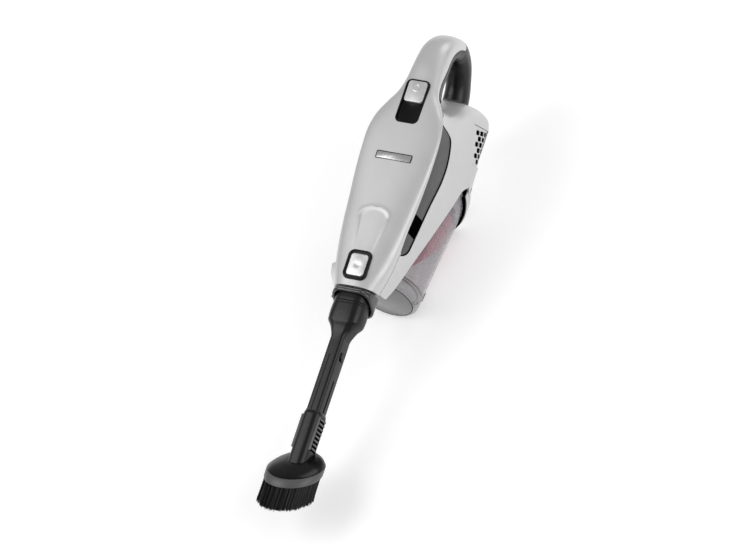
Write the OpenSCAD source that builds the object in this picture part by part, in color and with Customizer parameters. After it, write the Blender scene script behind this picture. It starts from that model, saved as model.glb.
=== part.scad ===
// Cordless handheld vacuum with crevice tool and dust brush.
// The tool axis runs along X and the machine stands on the belly of its dust bin, on Z = 0.

/* [Overall] */
// Angle between the tool axis and the dust bin axis
tool_tilt = 12.5; // [12:0.1:13]
// Wall thickness of the moulded shells
wall = 2.4; // [2:0.1:2.6]
// Gap between neighbouring moulded parts
gap = 0.3; // [0.2:0.05:0.4]

/* [Dust bin] */
// Outside radius of the clear bin
bin_r = 40.7; // [40.4:0.1:40.8]
// Length of the bin along its belly
bin_belly = 113.5; // [112:0.5:114]
// Length of the bin along its axis to the motor bulkhead
bin_length = 139.5; // [138:0.5:140]
// Depth of the lid in front of the seam
lid_depth = 18.5; // [17:0.5:20]
// Radius of the round inlet port in the bin's roof
port_r = 11.5; // [10:0.5:12]

/* [Handle] */
// Rise of the body's crest over the tool axis
crest = 19; // [18.5:0.1:19.5]
// Travel of the power switch
switch_travel = 18; // [12:1:18]

/* [Tool] */
// Half-width of the crevice tube
tube_w = 9; // [8.6:0.1:9]
// Half-height of the crevice tube
tube_h = 11.5; // [11:0.1:11.5]
// Radius of the brush disc
brush_r = 35; // [33:0.5:36]
// Free length of the bristles along the tool axis
bristle_length = 31; // [20:1:32]
// Distance that the brush slides back along the tube
brush_travel = 65; // [40:1:66]

/* [Hidden] */

$fn = 64;
tiny = 0.01;

// Where the tool frame's origin sits over the floor
origin_x = 88.668;
bin_seam_x = -115.2;
bin_axis_drop = 52.83;
origin_z = bin_axis_drop + bin_r;

// The cover's stations from nose to tail:
// x, z of the centre, turn of the section, half-width, parting edge, crest, loop side
COVER = [
    [-64, 0, 0, 28.6, -2.6, crest - 0.8, 15],
    [-90, 0, 0, 36.2, -0.5, crest, 15],
    [-116, 0, 0, 40.5, 2.5, crest, 15],
    [-145, 0, 0, 43.2, 6, crest, 15],
    [-175, 0, 0, 46, 6.5, crest, 15],
    [-205, 0, 0, 48.4, 8.5, crest, 15],
    [-235, 0, 0, 49.6, 10.5, crest, 15],
    [-262, 0, 0, 49, 12, crest, 15],
    [-283, 0, 0, 44.4, 11, crest - 0.2, 18],
    [-300, 0, 0, 36, 9, crest - 0.5, 20],
    [-315, 0, 0, 27, 8, crest - 0.8, 22],
    [-332, -1, 0, 23, 6.5, 18.5, 21],
    [-352, -2.5, 8, 22, 3, 19, 19],
    [-372, -7.5, 30, 21, 3, 18.8, 17],
    [-384.5, -19, 58, 20.5, 3, 18, 15],
    [-389.5, -33, 80, 19.5, 3.5, 17, 14]
];
// The bare leg below the cover's end, down to the motor housing
LEG = [
    [-390, -36, 84, 19, 3, 16.6, 14],
    [-389, -50, 100, 17, 0, 15.5, 13.5],
    [-381, -64, 128, 15.5, 0, 15, 13.5],
    [-366, -75, 150, 15, 0, 15, 13.5],
    [-354, -81, 165, 15.5, 0, 15, 14],
    [-343.5, -83.5, 177, 16, 0, 15, 14.5]
];
handle_start = 10;
cover_steps = 2;
arch_points = 16;
arch_power = 2.5;

// Side shell
side_front = -66;
low_width = [[-400, 46.5], [-230, 46.5], [-200, 45], [-134, 40], [-99, 36], [-66, 32]];
rear_face = [
    [-150, -331], [-120, -338], [-95, -341], [-75, -340], [-55, -334], [-30, -319], [-10, -312]
];
corner_length = 23;
housing_half = 46.5;
taper_depth = 42;
corner_power = 3.6;
shell_top_rows = 6;
shell_low_rows = 7;
belly_front = -142;
belly_rise = 0.17;
belly_start = -207;
rear_pole = -300;
wing_edge = [
    [-246, -98], [-236, -86], [-210, -75], [-185, -65], [-158, -54], [-134, -44],
    [-99, -31], [-80, -24.5], [-66, -19], [-60, -16]
];

// Side trim: depth of the crescent below the cover's edge
trim_front = -116;
trim_rear = -282;
trim_end = -281.5;
trim_knee = -126;
trim_heel = -262;
trim_depth = [
    [trim_end, 1], [-278.9, 15], [-275, 25.5], [trim_heel, 33.5], [-245, 38], [-225, 36.8],
    [-208, 32.8], [-190, 28], [-171, 25], [-154, 23.8], [-137, 21.4], [trim_knee, 17.5],
    [-119.5, 9], [trim_front, 0.8]
];
trim_gasket = 1.4;
clip_front = -146;
clip_rear = -169;
clip_top = -1.4;

// Switch and release button
switch_centre = -302;
switch_length = 56;
switch_width = 31;
slider_length = 27;
slider_width = 25;
slider_rest = -314.8;
release_centre = -90;
release_length = 37;
release_width = 31;
button_length = 27.6;
button_width = 23;

// Dust bin
bin_wall = 2.4;
bin_slant = 0.516;
port_x = -35;
motor_z = 30;
motor_r = 29;
shaft_r = 2.5;
running_gap = 0.05;
hinge_y = -bin_r - 2.6;
hinge_r = 2.3;
hinge_half = 5;
hinge_ear = 5;
pin_r = 1.2;

// Brush
disc_x = 173;
disc_z = 4;
disc_squash = 0.707;
tube_end = disc_x + 8;

function clamp(t) = max(0, min(1, t));
function mix(a, b, t) = a + (b - a) * t;
function ease(t) = t * t * (3 - 2 * t);
function power(v, p) = sign(v) * pow(abs(v), p);

// Smooth value at x through a list of [x, value] pairs with x rising
function place(x, keys, i = 0) =
    (i >= len(keys) - 2 || x <= keys[i + 1][0]) ? i : place(x, keys, i + 1);
function slope(keys, i) =
    let (a = keys[max(i - 1, 0)], b = keys[min(i + 1, len(keys) - 1)])
    (b[1] - a[1]) / (b[0] - a[0]);
function hermite(a, b, m, n, t) =
    a * (1 + t * t * (2 * t - 3)) + m * t * pow(1 - t, 2)
    + b * t * t * (3 - 2 * t) + n * t * t * (t - 1);
function curve(x, keys) =
    let (i = place(x, keys), h = keys[i + 1][0] - keys[i][0])
    let (t = clamp((x - keys[i][0]) / h))
    hermite(keys[i][1], keys[i + 1][1], slope(keys, i) * h, slope(keys, i + 1) * h, t);

// Smooth rows between the rows of a table
function row_slope(rows, i) =
    (rows[min(i + 1, len(rows) - 1)] - rows[max(i - 1, 0)])
    / (min(i + 1, len(rows) - 1) - max(i - 1, 0));
function smooth_rows(rows, steps) = concat(
    [for (i = [0:len(rows) - 2]) for (s = [0:steps - 1])
        let (t = s / steps)
        hermite(rows[i], rows[i + 1], row_slope(rows, i), row_slope(rows, i + 1), t)],
    [rows[len(rows) - 1]]
);

// The cover's half-width and parting edge at a place along the body
function cover_keys(column) =
    [for (i = [11:-1:0]) [COVER[i][0], COVER[i][column]]];
function cover_width(x) = curve(x, cover_keys(3));
function cover_edge(x) = curve(x, cover_keys(4));

// A solid through closed rings of points; every ring has as many points
module skin(rings) {
    n = len(rings[0]);
    last = len(rings) - 1;
    sides = [for (k = [0:last - 1]) for (i = [0:n - 1])
        let (a = k * n + i, b = k * n + (i + 1) % n)
        each [[a, b, b + n], [a, b + n, a + n]]];
    caps = [for (i = [0:n / 2 - 2])
        let (j = n - 1 - i, top = last * n)
        each [[i + 1, i, j], [i + 1, j, j - 1], [top + i, top + i + 1, top + j],
              [top + i + 1, top + j - 1, top + j]]];
    points = [for (ring = rings) each ring];
    polyhedron(points, concat(sides, caps), convexity = 8);
}

// A ring-shaped solid: the last ring joins the first
module loop_skin(rings) {
    n = len(rings[0]);
    count = len(rings);
    sides = [for (k = [0:count - 1]) for (i = [0:n - 1])
        let (a = k * n + i, b = k * n + (i + 1) % n, up = ((k + 1) % count - k) * n)
        each [[a, b, b + up], [a, b + up, a + up]]];
    polyhedron([for (ring = rings) each ring], sides, convexity = 8);
}

// Tool frame to standing frame, and bin frame to standing frame
module stand() {
    translate([origin_x, 0, origin_z]) rotate([0, tool_tilt, 0]) children();
}
module on_bin() {
    translate([origin_x + bin_seam_x, 0, bin_r]) children();
}

// A cylinder along X from x0 to x1
module rod(x0, x1, r) {
    translate([x0, 0, 0]) rotate([0, 90, 0]) cylinder(h = x1 - x0, r = r);
}
// A profile in X and Z, made 2 * half deep along Y
module side_profile(points, half) {
    translate([0, half, 0]) rotate([90, 0, 0]) linear_extrude(2 * half) polygon(points);
}

// Point of a station: y across and v outward from its centre
function station_point(s, y, v) = [s[0] - v * sin(s[2]), y, s[1] + v * cos(s[2])];
// Arch over a station, from one parting edge to the other
function arch(s, inset, n = arch_points) =
    [for (i = [0:n]) let (t = 180 * i / n)
        station_point(s, (s[3] - inset) * power(cos(t), 2 / arch_power),
            s[4] + (s[5] - s[4] - inset) * power(sin(t), 2 / arch_power))];
// The loop side of a handle station
function belly_arch(s, drop, n = 12) =
    [for (i = [0:n]) let (t = 180 * i / n)
        station_point(s, -s[3] * cos(t), s[4] - drop - (s[4] - drop + s[6]) * sin(t))];
function reversed(list) = [for (i = [len(list) - 1:-1:0]) list[i]];

// Rounded rectangle in the YZ plane at x
function pad_ring(x, half_y, half_z, r, z0 = 0, lean = 0, n = 6) =
    [for (q = [0:3]) for (i = [0:n])
        let (t = 90 * q + 90 * i / n)
        let (sy = (q == 0 || q == 3) ? 1 : -1, sz = (q < 2) ? 1 : -1)
        let (y = sy * (half_y - r) + r * cos(t), z = sz * (half_z - r) + r * sin(t))
        [x + lean * z, y, z0 + z]];

// ---------------------------------------------------------------- body skins

module cover_skin() {
    skin([for (s = smooth_rows(COVER, cover_steps))
        concat(arch(s, 0), reversed(arch(s, wall)))]);
}
module rounded_plate(length, width, height, r) {
    linear_extrude(height) hull() {
        for (x = [-1, 1]) for (y = [-1, 1])
            translate([x * (length / 2 - r), y * (width / 2 - r)]) circle(r, $fn = 32);
    }
}
module top_cover() {
    color("silver") stand() difference() {
        cover_skin();
        translate([switch_centre, 0, 0])
            rounded_plate(switch_length + 2 * gap, switch_width + 2 * gap, 40, 7);
        translate([release_centre, 0, 0])
            rounded_plate(release_length + 2 * gap, release_width + 2 * gap, 40, 8);
    }
}

// Half-width of the side skin at a height in front of the rear corner
function side_width(x, z, inset) =
    let (edge = cover_edge(x))
    mix(cover_width(x), curve(x, low_width), ease(clamp((edge - z) / (edge + taper_depth))))
    - inset;
// Outline of the housing at a height, a = 0 on the flank and 90 at the rear
function corner(a, z, inset) =
    let (rear = curve(z, rear_face) + inset)
    [rear + corner_length - inset - (corner_length - inset) * power(sin(a), 2 / corner_power),
     (housing_half - inset) * power(cos(a), 2 / corner_power)];
// Upper border of the skin round the neck under the handle
neck_start = -275;
neck_length = 37;
neck_turn = -294;
function neck(a, inset) =
    let (x = neck_start - (neck_length - inset) * sin(a))
    let (turn = clamp((neck_turn - x) / (neck_turn - neck_start + neck_length - inset)))
    [x, max(0, cover_width(x) - inset) * sqrt(max(0, 1 - turn * turn)),
     cover_edge(x) - gap - trim_drop(x) - 22 * ease(clamp((-288 - x) / 24))];
function trim_drop(x) =
    (x > trim_front || x < trim_rear) ? 0 : curve(x, trim_depth) + trim_gasket + 2 * gap;
function belly_z(x) = mix(-99, -91, clamp((belly_start - x) / 80));
function floor_z(x) = belly_front + belly_rise * max(0, belly_start - x);

function upper_point(x, a, v, inset) =
    (a == 0) ? let (top = cover_edge(x) - gap - trim_drop(x), z = mix(top, belly_z(x), v))
        [x, side_width(x, z, inset), z]
    : let (top = neck(a, inset), z = mix(top[2], belly_z(x), v))
      let (low = corner(a, z, inset), g = ease(clamp((top[2] - z) / (top[2] + taper_depth))))
        [mix(top[0], low[0], g), mix(top[1], low[1], g), z];
function lower_point(x, a, b, inset) =
    let (p = upper_point(x, a, 1, inset))
    let (n = mix(2, 2.5, clamp((belly_start - x) / 80)))
    let (shrink = power(cos(b), 2 / n), pole = max(x, rear_pole))
    let (px = mix(pole, p[0], shrink))
    let (depth = belly_z(x) - floor_z(px) - inset)
    [px, p[1] * shrink, belly_z(x) - depth * power(sin(b), 2 / n)];
function shell_column(x, a, inset) = concat(
    [for (i = [0:shell_top_rows]) upper_point(x, a, i / shell_top_rows, inset)],
    [for (i = [1:shell_low_rows]) lower_point(x, a, 90 * i / shell_low_rows, inset)]
);
// Stations along the side: x and the angle round the rear; closer where the trim bends
neck_stations = 15;
shell_stations = concat(
    [for (i = [0:9]) [mix(side_front, trim_front, i / 10), 0]],
    [for (i = [0:3]) [mix(trim_front, trim_knee, i / 4), 0]],
    [for (i = [0:19]) [mix(trim_knee, trim_heel, i / 20), 0]],
    [for (i = [0:4]) [mix(trim_heel, neck_start, i / 4), 0]],
    [for (i = [1:neck_stations]) [neck_start - 1, 90 * i / neck_stations]]
);
trim_stations = concat(
    [for (s = shell_stations) if (s[1] == 0 && s[0] <= trim_front) s[0]],
    [neck(shell_stations[len(shell_stations) - neck_stations][1], 0)[0], trim_end]
);
module side_skin() {
    skin([for (s = shell_stations)
        concat(shell_column(s[0], s[1], wall), reversed(shell_column(s[0], s[1], 0)))]);
}
// What is open below the wing and in front of the slanted bin joint
module wing_cut() {
    lower_edge = [for (i = [0:12]) let (x = mix(-244, -60, i / 12)) [x, curve(x, wing_edge)]];
    side_profile(concat(lower_edge, [[-40, -16], [-40, -170], [-188.2, -170], [-246.2, -98]]), 60);
}
vent_window = [[-314, -61], [-273, -86], [-276, -121.6], [-322, -108.6]];
latch_window = [[-250.5, -121], [-242, -121], [-242, -107], [-250.5, -107]];
module side_shell() {
    difference() {
        side_skin();
        wing_cut();
        translate([0, 42, 0]) side_profile(vent_window, 30);
        translate([0, 45, 0]) side_profile(latch_window, 20);
    }
}
module left_side_shell() {
    color("silver") stand() difference() {
        side_shell();
        base_holes();
    }
}
// A rounded lug beside the nose, on the right shell only
nose_lug = [[-96, -35.5], [-92, -45.2], [-80, -42.7], [-67, -34.5], [-65, -30.5], [-66.2, -28],
    [-80, -31.5]];
nose_lug_low = -12;
nose_lug_top = -3.2;
module right_side_shell() {
    color("silver") stand() {
        mirror([0, 1, 0]) difference() {
            side_shell();
            base_holes();
        }
        translate([0, 0, nose_lug_low]) linear_extrude(nose_lug_top - nose_lug_low)
            offset(1) offset(-1) polygon(nose_lug);
    }
}

module grip_insert() {
    core = smooth_rows([for (i = [handle_start:len(COVER) - 1]) COVER[i]], cover_steps);
    leg = smooth_rows(LEG, cover_steps);
    step = wall + gap;
    covered = [for (s = core) concat(arch(s, step), belly_arch(s, gap))];
    bare = [for (s = leg) concat(arch(s, 0.05), belly_arch(s, 0))];
    color([0.2, 0.2, 0.21]) stand() difference() {
        skin(concat(covered, bare));
        translate([-332, -17, 10]) cube([30, 34, 20]);
    }
}

// Strip of the side skin between two depths below the cover's edge
module skin_strip(from, to, thick, rows = 4) {
    skin([for (x = trim_stations)
        let (d = curve(x, trim_depth))
        let (top = cover_edge(x) - mix(gap, d, from), low = cover_edge(x) - mix(gap, d, to))
        let (low2 = (to > 1) ? cover_edge(x) - d - trim_gasket : low)
        let (top2 = (from > 0.99) ? top - 0.1 : top)
        concat(
            [for (i = [0:rows]) let (z = mix(top2, low2, i / rows))
                [x, side_width(x, z, thick), z]],
            [for (i = [rows:-1:0]) let (z = mix(top2, low2, i / rows))
                [x, side_width(x, z, 0), z]]
        )]);
}
clip_slot_low = -40;
module clip_slot() {
    rear = clip_rear - gap;
    front = clip_front + gap;
    top = clip_top + gap;
    side_profile([[rear, clip_slot_low], [rear, top], [front, top], [front, clip_slot_low]], 80);
}
module side_trim() {
    difference() {
        skin_strip(0, 1, 2);
        clip_slot();
    }
}
module left_side_trim() { color([0.3, 0.3, 0.31]) stand() side_trim(); }
module right_side_trim() { color([0.3, 0.3, 0.31]) stand() mirror([0, 1, 0]) side_trim(); }
module trim_border() { skin_strip(1, 2, 2, 1); }
module left_trim_gasket() { color("black") stand() trim_border(); }
module right_trim_gasket() { color("black") stand() mirror([0, 1, 0]) trim_border(); }
module trim_clip() {
    skin([for (k = [0:8])
        let (x = mix(clip_front, clip_rear, k / 8))
        let (base = cover_edge(x) - curve(x, trim_depth) + gap)
        concat(
            [for (i = [0:3]) let (z = mix(clip_top, base, i / 3)) [x, side_width(x, z, 1.8), z]],
            [for (i = [3:-1:0]) let (z = mix(clip_top, base, i / 3)) [x, side_width(x, z, 0), z]]
        )]);
}
module left_trim_clip() { color("black") stand() trim_clip(); }
module right_trim_clip() { color("black") stand() mirror([0, 1, 0]) trim_clip(); }

// ---------------------------------------------------------------- controls

module switch_bezel() {
    color([0.05, 0.05, 0.05]) stand() translate([switch_centre, 0, 10.5]) difference() {
        rounded_plate(switch_length, switch_width, 5, 7);
        translate([0, 0, 3]) rounded_plate(switch_length - 2.4, switch_width - 2.4, 3, 6);
    }
}
module power_switch() {
    color("silver") stand() translate([slider_rest, 0, 13.7])
        rounded_plate(slider_length, slider_width, 5.3, 4);
}
module release_bezel() {
    color([0.05, 0.05, 0.05]) stand() translate([release_centre, 0, 14.8]) difference() {
        rounded_plate(release_length, release_width, 3.6, 8);
        translate([0, 0, -1]) rounded_plate(button_length + 1, button_width + 1, 8, 4);
    }
}
module release_button() {
    color("silver") stand() translate([release_centre, 0, 17])
        rounded_plate(button_length, button_width, 2.2, 4);
}
module badge_plate() {
    color([0.7, 0.7, 0.7]) stand() translate([-230, 0, crest + 0.1])
        rounded_plate(10, 48, 0.8, 2);
}

// ---------------------------------------------------------------- air path

module nozzle_collar() {
    lean = -0.5;
    outer = [[-47, 26.4, 19.2, 14], [-61, 26.8, 17.6, 14], [-63, 23, 14.4, 12],
             [-100, 22, 14.4, 12]];
    inner = [[-100, 19.7, 13.1, 11], [-61.2, 19.7, 13.1, 11], [-60.2, 22.6, 16.2, 12],
             [-47, 22.8, 16.6, 12]];
    rings = [for (k = [0:3]) pad_ring(outer[k][0], outer[k][1], outer[k][2], outer[k][3],
                 k < 2 ? -0.5 : 0, k == 0 ? lean : 0)];
    bore = [for (k = [0:3]) pad_ring(inner[k][0], inner[k][1], inner[k][2], inner[k][3],
                0, k == 3 ? lean : 0)];
    color([0.16, 0.16, 0.17]) stand() loop_skin(concat(rings, bore));
}
module collar_hinge_block() {
    color([0.1, 0.1, 0.1]) stand() translate([-60, -30.3, -8]) cube([9, 3, 8]);
}
module inlet_duct() {
    elbow_x = origin_x + bin_seam_x + port_x;
    color([0.25, 0.25, 0.26]) difference() {
        union() {
            stand() rod(-154, -100.5, 14.5);
            translate([elbow_x, 0, 2 * bin_r + 3.2]) cylinder(h = 36, r = 14.5);
        }
        stand() rod(-154, -99, 12.5);
        translate([elbow_x, 0, 2 * bin_r + 2]) cylinder(h = 37, r = 12.4);
    }
}
module inlet_seal() {
    color("black") translate([origin_x + bin_seam_x + port_x, 0, 2 * bin_r + 2.2])
        difference() {
            cylinder(h = 1, r = 15);
            translate([0, 0, -1]) cylinder(h = 3, r = 12.4);
        }
}
module spine_plate() {
    deck = [[-84, -19.5], [-99, -25.5], [-134, -38], [-180, -48], [-238, -60]];
    thick = [for (p = reversed(deck)) p + [0, 2]];
    outline = [for (x = [-80, -95, -120, -150, -180, -210, -238])
        [x, curve(x, low_width) - wall - 1.5]];
    mirrored = [for (p = reversed(outline)) [p[0], -p[1]]];
    color([0.25, 0.25, 0.26]) difference() {
        stand() intersection() {
            side_profile(concat(deck, thick), 60);
            translate([0, 0, -80]) linear_extrude(90) polygon(concat(outline, mirrored));
        }
        translate([origin_x + bin_seam_x + port_x, 0, 60]) cylinder(h = 60, r = 16);
    }
}

// ---------------------------------------------------------------- motor housing

// Feet under the motor: a pad and a thinner stem up to the shell
foot_x = -254;
foot_y = 17;
foot_r = 5.5;
foot_height = 6.9;
stem_height = 10.2;
module rubber_feet() {
    color("black") for (y = [-foot_y, foot_y]) translate([origin_x + foot_x, y, 0]) {
        cylinder(h = foot_height, r = foot_r);
        cylinder(h = stem_height, r = 2);
    }
}
screw_x = [-262, -305];
screw_y = 20;
module base_holes() {
    for (x = screw_x) translate([x, screw_y, -150]) cylinder(h = 40, r = 3.4);
    translate([-284, 0, -150]) cylinder(h = 40, r = 5.8);
}
module base_screws() {
    color("dimgray") stand() for (x = screw_x) for (y = [-screw_y, screw_y])
        translate([x, y, floor_z(x) + 1.5]) cylinder(h = 4, r = 3);
}
module charge_socket() {
    color("black") stand() translate([-284, 0, floor_z(-284)]) difference() {
        cylinder(h = 8, r = 5.5);
        translate([0, 0, -1]) cylinder(h = 8, r = 2.8);
    }
}
// The slanted joint between bin and housing, along the bin at a height over its axis
function joint_x(z) = -bin_belly - bin_slant * (z + bin_r);
gasket_top = 5;
module bin_gasket() {
    low = -bin_r - 5;
    slab = [[joint_x(low) - gap, low], [joint_x(gasket_top) - gap, gasket_top],
            [joint_x(gasket_top) - 6.2, gasket_top], [joint_x(low) - 6.2, low]];
    color([0.04, 0.04, 0.04]) on_bin() difference() {
        intersection() {
            rod(-170, -90, bin_r + 2.3);
            side_profile(slab, 60);
            translate([-200, -60, -bin_r + gap]) cube([200, 120, 2 * bin_r]);
        }
        rod(-200, 0, bin_r - 5);
    }
}
module motor_bulkhead() {
    color([0.2, 0.2, 0.2]) on_bin() translate([0, 0, 12]) difference() {
        rod(-146, -143.8, 29);
        translate([0, 0, motor_z - 12]) rod(-150, -140, 9);
        translate([0, 0, -2]) rod(-150, -140, 8);
    }
}
module motor_can() {
    color([0.5, 0.5, 0.52]) on_bin() translate([0, 0, motor_z]) difference() {
        rod(-203, -161, motor_r);
        rod(-178, -160, shaft_r + running_gap);
    }
}
module motor_mount() {
    color([0.1, 0.1, 0.1]) on_bin() translate([0, 0, motor_z]) difference() {
        rod(-169, -163, motor_r + 4);
        rod(-170, -160, motor_r);
    }
}
module impeller() {
    color("gainsboro") on_bin() translate([0, 0, motor_z]) {
        rod(-177, -150, shaft_r);
        rod(-158, -156.5, 21);
        for (a = [0:40:320]) rotate([a, 0, 0]) translate([-156.6, 2, -0.6]) cube([6, 18, 1.2]);
    }
}
module exhaust_filter() {
    color("white") on_bin() translate([0, 0, motor_z]) difference() {
        rod(-184, -170, motor_r + 5.5);
        rod(-185, -169.5, motor_r + 1);
    }
}
vent_rows = 6;
vent_columns = 3;
vent_step = [6.2, -3.2];
vent_across = [-2.9, -10.5];
vent_first = [-309.4, -78.5];
module vent_grille() {
    plate = [[-313.6, -62], [-273.5, -86.6], [-276.4, -121], [-321.4, -108]];
    difference() {
        intersection() {
            translate([0, 42, 0]) side_profile(plate, 29);
            skin([for (s = shell_stations)
                concat(shell_column(s[0], s[1], 2.2), reversed(shell_column(s[0], s[1], 0.7)))]);
        }
        for (r = [0:vent_rows - 1]) for (c = [0:vent_columns - 1 - r % 2])
            let (p = vent_first + vent_step * r + vent_across * (c + 0.55 * (r % 2)))
                translate([p[0], 55, p[1]]) rotate([90, 0, 0])
                    cylinder(h = 40, r = 2.3, $fn = 32);
    }
}
module left_vent_grille() { color("silver") stand() vent_grille(); }
module right_vent_grille() { color("silver") stand() mirror([0, 1, 0]) vent_grille(); }

// ---------------------------------------------------------------- power

cell_r = 9.1;
cell_length = 65;
cell_pitch = 19.4;
module battery_cells() {
    color("steelblue") stand() for (y = [-1:1]) for (z = [-15, -34.5])
        translate([0, y * cell_pitch, z]) rod(-243, -243 + cell_length, cell_r);
}
module battery_holder() {
    color([0.15, 0.15, 0.15]) stand() for (x = [-246, -177.7])
        translate([x, -29, -44]) cube([2.7, 58, 39]);
}
module control_board() {
    color("green") stand() translate([-245, -24, -1.5]) cube([68, 48, 1.6]);
}
module switch_body() {
    color([0.1, 0.1, 0.1]) stand() translate([-308, -8, -4]) cube([24, 16, 14]);
}

// ---------------------------------------------------------------- dust bin

module dust_bin() {
    color([0.75, 0.72, 0.76, 0.4]) on_bin() difference() {
        union() {
            intersection() {
                rod(-bin_length, -gap, bin_r);
                side_profile([[0, -60], [0, 60], [-bin_length, 60],
                    [-bin_length, (bin_length - bin_belly) / bin_slant - bin_r],
                    [joint_x(-60), -60]], 60);
            }
            translate([port_x, 0, bin_r - 4]) cylinder(h = 5.5, r = port_r + 3);
            for (z = [-hinge_half - hinge_ear, hinge_half + gap]) translate([0, 0, z]) {
                translate([0, hinge_y, 0]) cylinder(h = hinge_ear - gap, r = hinge_r);
                translate([-4, hinge_y, 0]) cube([3.7, 4, hinge_ear - gap]);
            }
        }
        translate([0, hinge_y, -20]) cylinder(h = 40, r = pin_r);
        rod(-bin_length - 5, 5, bin_r - bin_wall);
        translate([port_x, 0, bin_r - 10]) cylinder(h = 20, r = port_r);
    }
}
module lid_pin() {
    color("silver") on_bin() translate([0, hinge_y, -hinge_half - hinge_ear])
        cylinder(h = 2 * (hinge_half + hinge_ear), r = pin_r);
}
module filter_frame() {
    color([0.12, 0.12, 0.12]) on_bin() difference() {
        rod(-112, -108, bin_r - bin_wall - 0.1);
        rod(-113, -107, 27);
    }
}
module filter_cone() {
    color([0.78, 0.2, 0.45]) on_bin() rotate([0, -90, 0]) rotate_extrude()
        polygon([[tiny * 10, 34], [12, 34], [34, 72], [36, 107.9], [33.5, 107.9], [31.6, 73],
            [10.5, 36.5], [tiny * 10, 36.5]]);
}
module bin_rear_ring() {
    color([0.05, 0.05, 0.05]) on_bin() difference() {
        rod(-bin_belly + 1.5 - 4, -bin_belly + 1.5, bin_r - bin_wall - 0.1);
        rod(-130, -100, bin_r - bin_wall - 4);
        translate([-130, -60, -60]) cube([200, 120, 60]);
    }
}
flap_x = port_x - 13;
flap_z = bin_r - bin_wall - 6;
module inlet_flap() {
    color([0.1, 0.1, 0.1]) on_bin() translate([flap_x, 0, flap_z]) {
        rotate([90, 0, 0]) translate([0, 0, -12]) cylinder(h = 24, r = 1.4);
        translate([0, -12, -0.8]) cube([26, 24, 1.4]);
    }
}
module bin_lid() {
    face_r = bin_r - 6;
    shoulder = 12;
    seat = [[bin_r - 5, gap], [bin_r, gap], [bin_r, shoulder]];
    round_edge = [for (i = [1:6]) let (t = 90 * i / 6)
        [face_r + 6 * cos(t), shoulder + (lid_depth - shoulder) * sin(t)]];
    inside = [[tiny * 10, lid_depth], [tiny * 10, lid_depth - bin_wall],
              [face_r - 2, lid_depth - bin_wall], [bin_r - 5, shoulder]];
    color([0.6, 0.6, 0.62, 0.5]) on_bin() difference() {
        union() {
            rotate([0, 90, 0]) rotate_extrude() polygon(concat(seat, round_edge, inside));
            translate([0, hinge_y, -hinge_half]) cylinder(h = 2 * hinge_half, r = hinge_r);
            translate([gap, hinge_y, -hinge_half]) cube([4, 4, 2 * hinge_half]);
        }
        translate([0, hinge_y, -20]) cylinder(h = 40, r = pin_r + running_gap);
    }
}
module lid_ring() {
    color([0.45, 0.05, 0.12]) on_bin() difference() {
        rod(1, 4, bin_r - 5.2);
        rod(0, 5, bin_r - 7.5);
    }
}
module lid_latch() {
    color([0.3, 0.3, 0.3]) on_bin() rotate([-45, 0, 0])
        translate([-14, bin_r + 0.4, -5]) cube([12, 2, 10]);
}
// The bin's release latch lies flush in the slope of the housing
latch_tilt = 26;
latch_place = [-246.25, 41.3, -114];
latch_size = [7.5, 2.6, 12.2];
module bin_latch() {
    color([0.55, 0.55, 0.56]) stand() translate(latch_place) rotate([-latch_tilt, 0, 0])
        cube(latch_size, center = true);
}

// ---------------------------------------------------------------- crevice tool and brush

socket = [
    // x, half-width, half-height, corner radius
    [-92, 18.6, 12.2, 10.5], [-60.5, 19.3, 12.7, 11], [-58, 21.2, 15.2, 13],
    [-50, 22, 16, 14], [-22, 21.6, 15.8, 13], [-14, 15.5, 13.6, 9.5], [-3, 9.6, 12, 5],
    [4, tube_w, tube_h, 4], [tube_end, tube_w, tube_h, 4]
];
module crevice_tool() {
    rings = [for (s = socket) pad_ring(s[0], s[1], s[2], s[3])];
    bore = [for (k = [len(socket) - 1:-1:0]) let (s = socket[k])
        pad_ring(s[0], s[1] - 2.4, s[2] - 2.4, max(1.6, s[3] - 2.4))];
    color([0.16, 0.16, 0.17]) stand() difference() {
        loop_skin(reversed(concat(rings, bore)));
        translate([14.5, tube_w - 1.6, -4.5]) cube([11, 4, 9]);
    }
}
module brush_lock() {
    color([0.08, 0.08, 0.08]) stand() translate([15, tube_w - 0.5, -4]) cube([10, 1.6, 8]);
}
sleeve_w = 12;
sleeve_h = 13;
// Ring in the slanted plane of the brush, d in front of the disc
function slant_ring(d, ry, rz, cz, n = 40) =
    [for (i = [0:n - 1]) let (t = 360 * i / n, z = cz + rz * sin(t))
        [disc_x + (z - disc_z) + d, ry * cos(t), z]];
module tube_hole(margin, x0, x1) {
    translate([x0, -tube_w - margin, -tube_h - margin])
        cube([x1 - x0, 2 * (tube_w + margin), 2 * (tube_h + margin)]);
}
module brush_sleeve() {
    color([0.13, 0.13, 0.14]) stand() difference() {
        loop_skin(reversed(concat(
            [for (s = [[92, 0.6], [95, 0], [disc_x - 12, 0]])
                pad_ring(s[0], sleeve_w - s[1], sleeve_h - s[1], 5)],
            [for (x = [disc_x - 12, 92]) pad_ring(x, tube_w + gap, tube_h + gap, 4)]
        )));
        // The sleeve ends just behind the dome's slanted back
        translate([disc_x - disc_z - 26.4, -30, 0]) rotate([0, 45, 0])
            translate([0, 0, -60]) cube([60, 60, 120]);
    }
}
module brush_dome() {
    color([0.05, 0.05, 0.05]) stand() difference() {
        skin(reversed([
            slant_ring(-26, 15, 14.6, 0.5), slant_ring(-22, 22, 18, 2),
            slant_ring(-16, 30, 22.4, 3.4), slant_ring(-11.2, 33.5, 24.2, disc_z)
        ]));
        tube_hole(gap, 100, 200);
    }
}
module brush_band() {
    color([0.25, 0.25, 0.26]) stand() difference() {
        skin(reversed([
            slant_ring(-11, brush_r, brush_r * disc_squash, disc_z),
            slant_ring(0, brush_r, brush_r * disc_squash, disc_z)
        ]));
        tube_hole(gap, 100, 220);
    }
}
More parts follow.
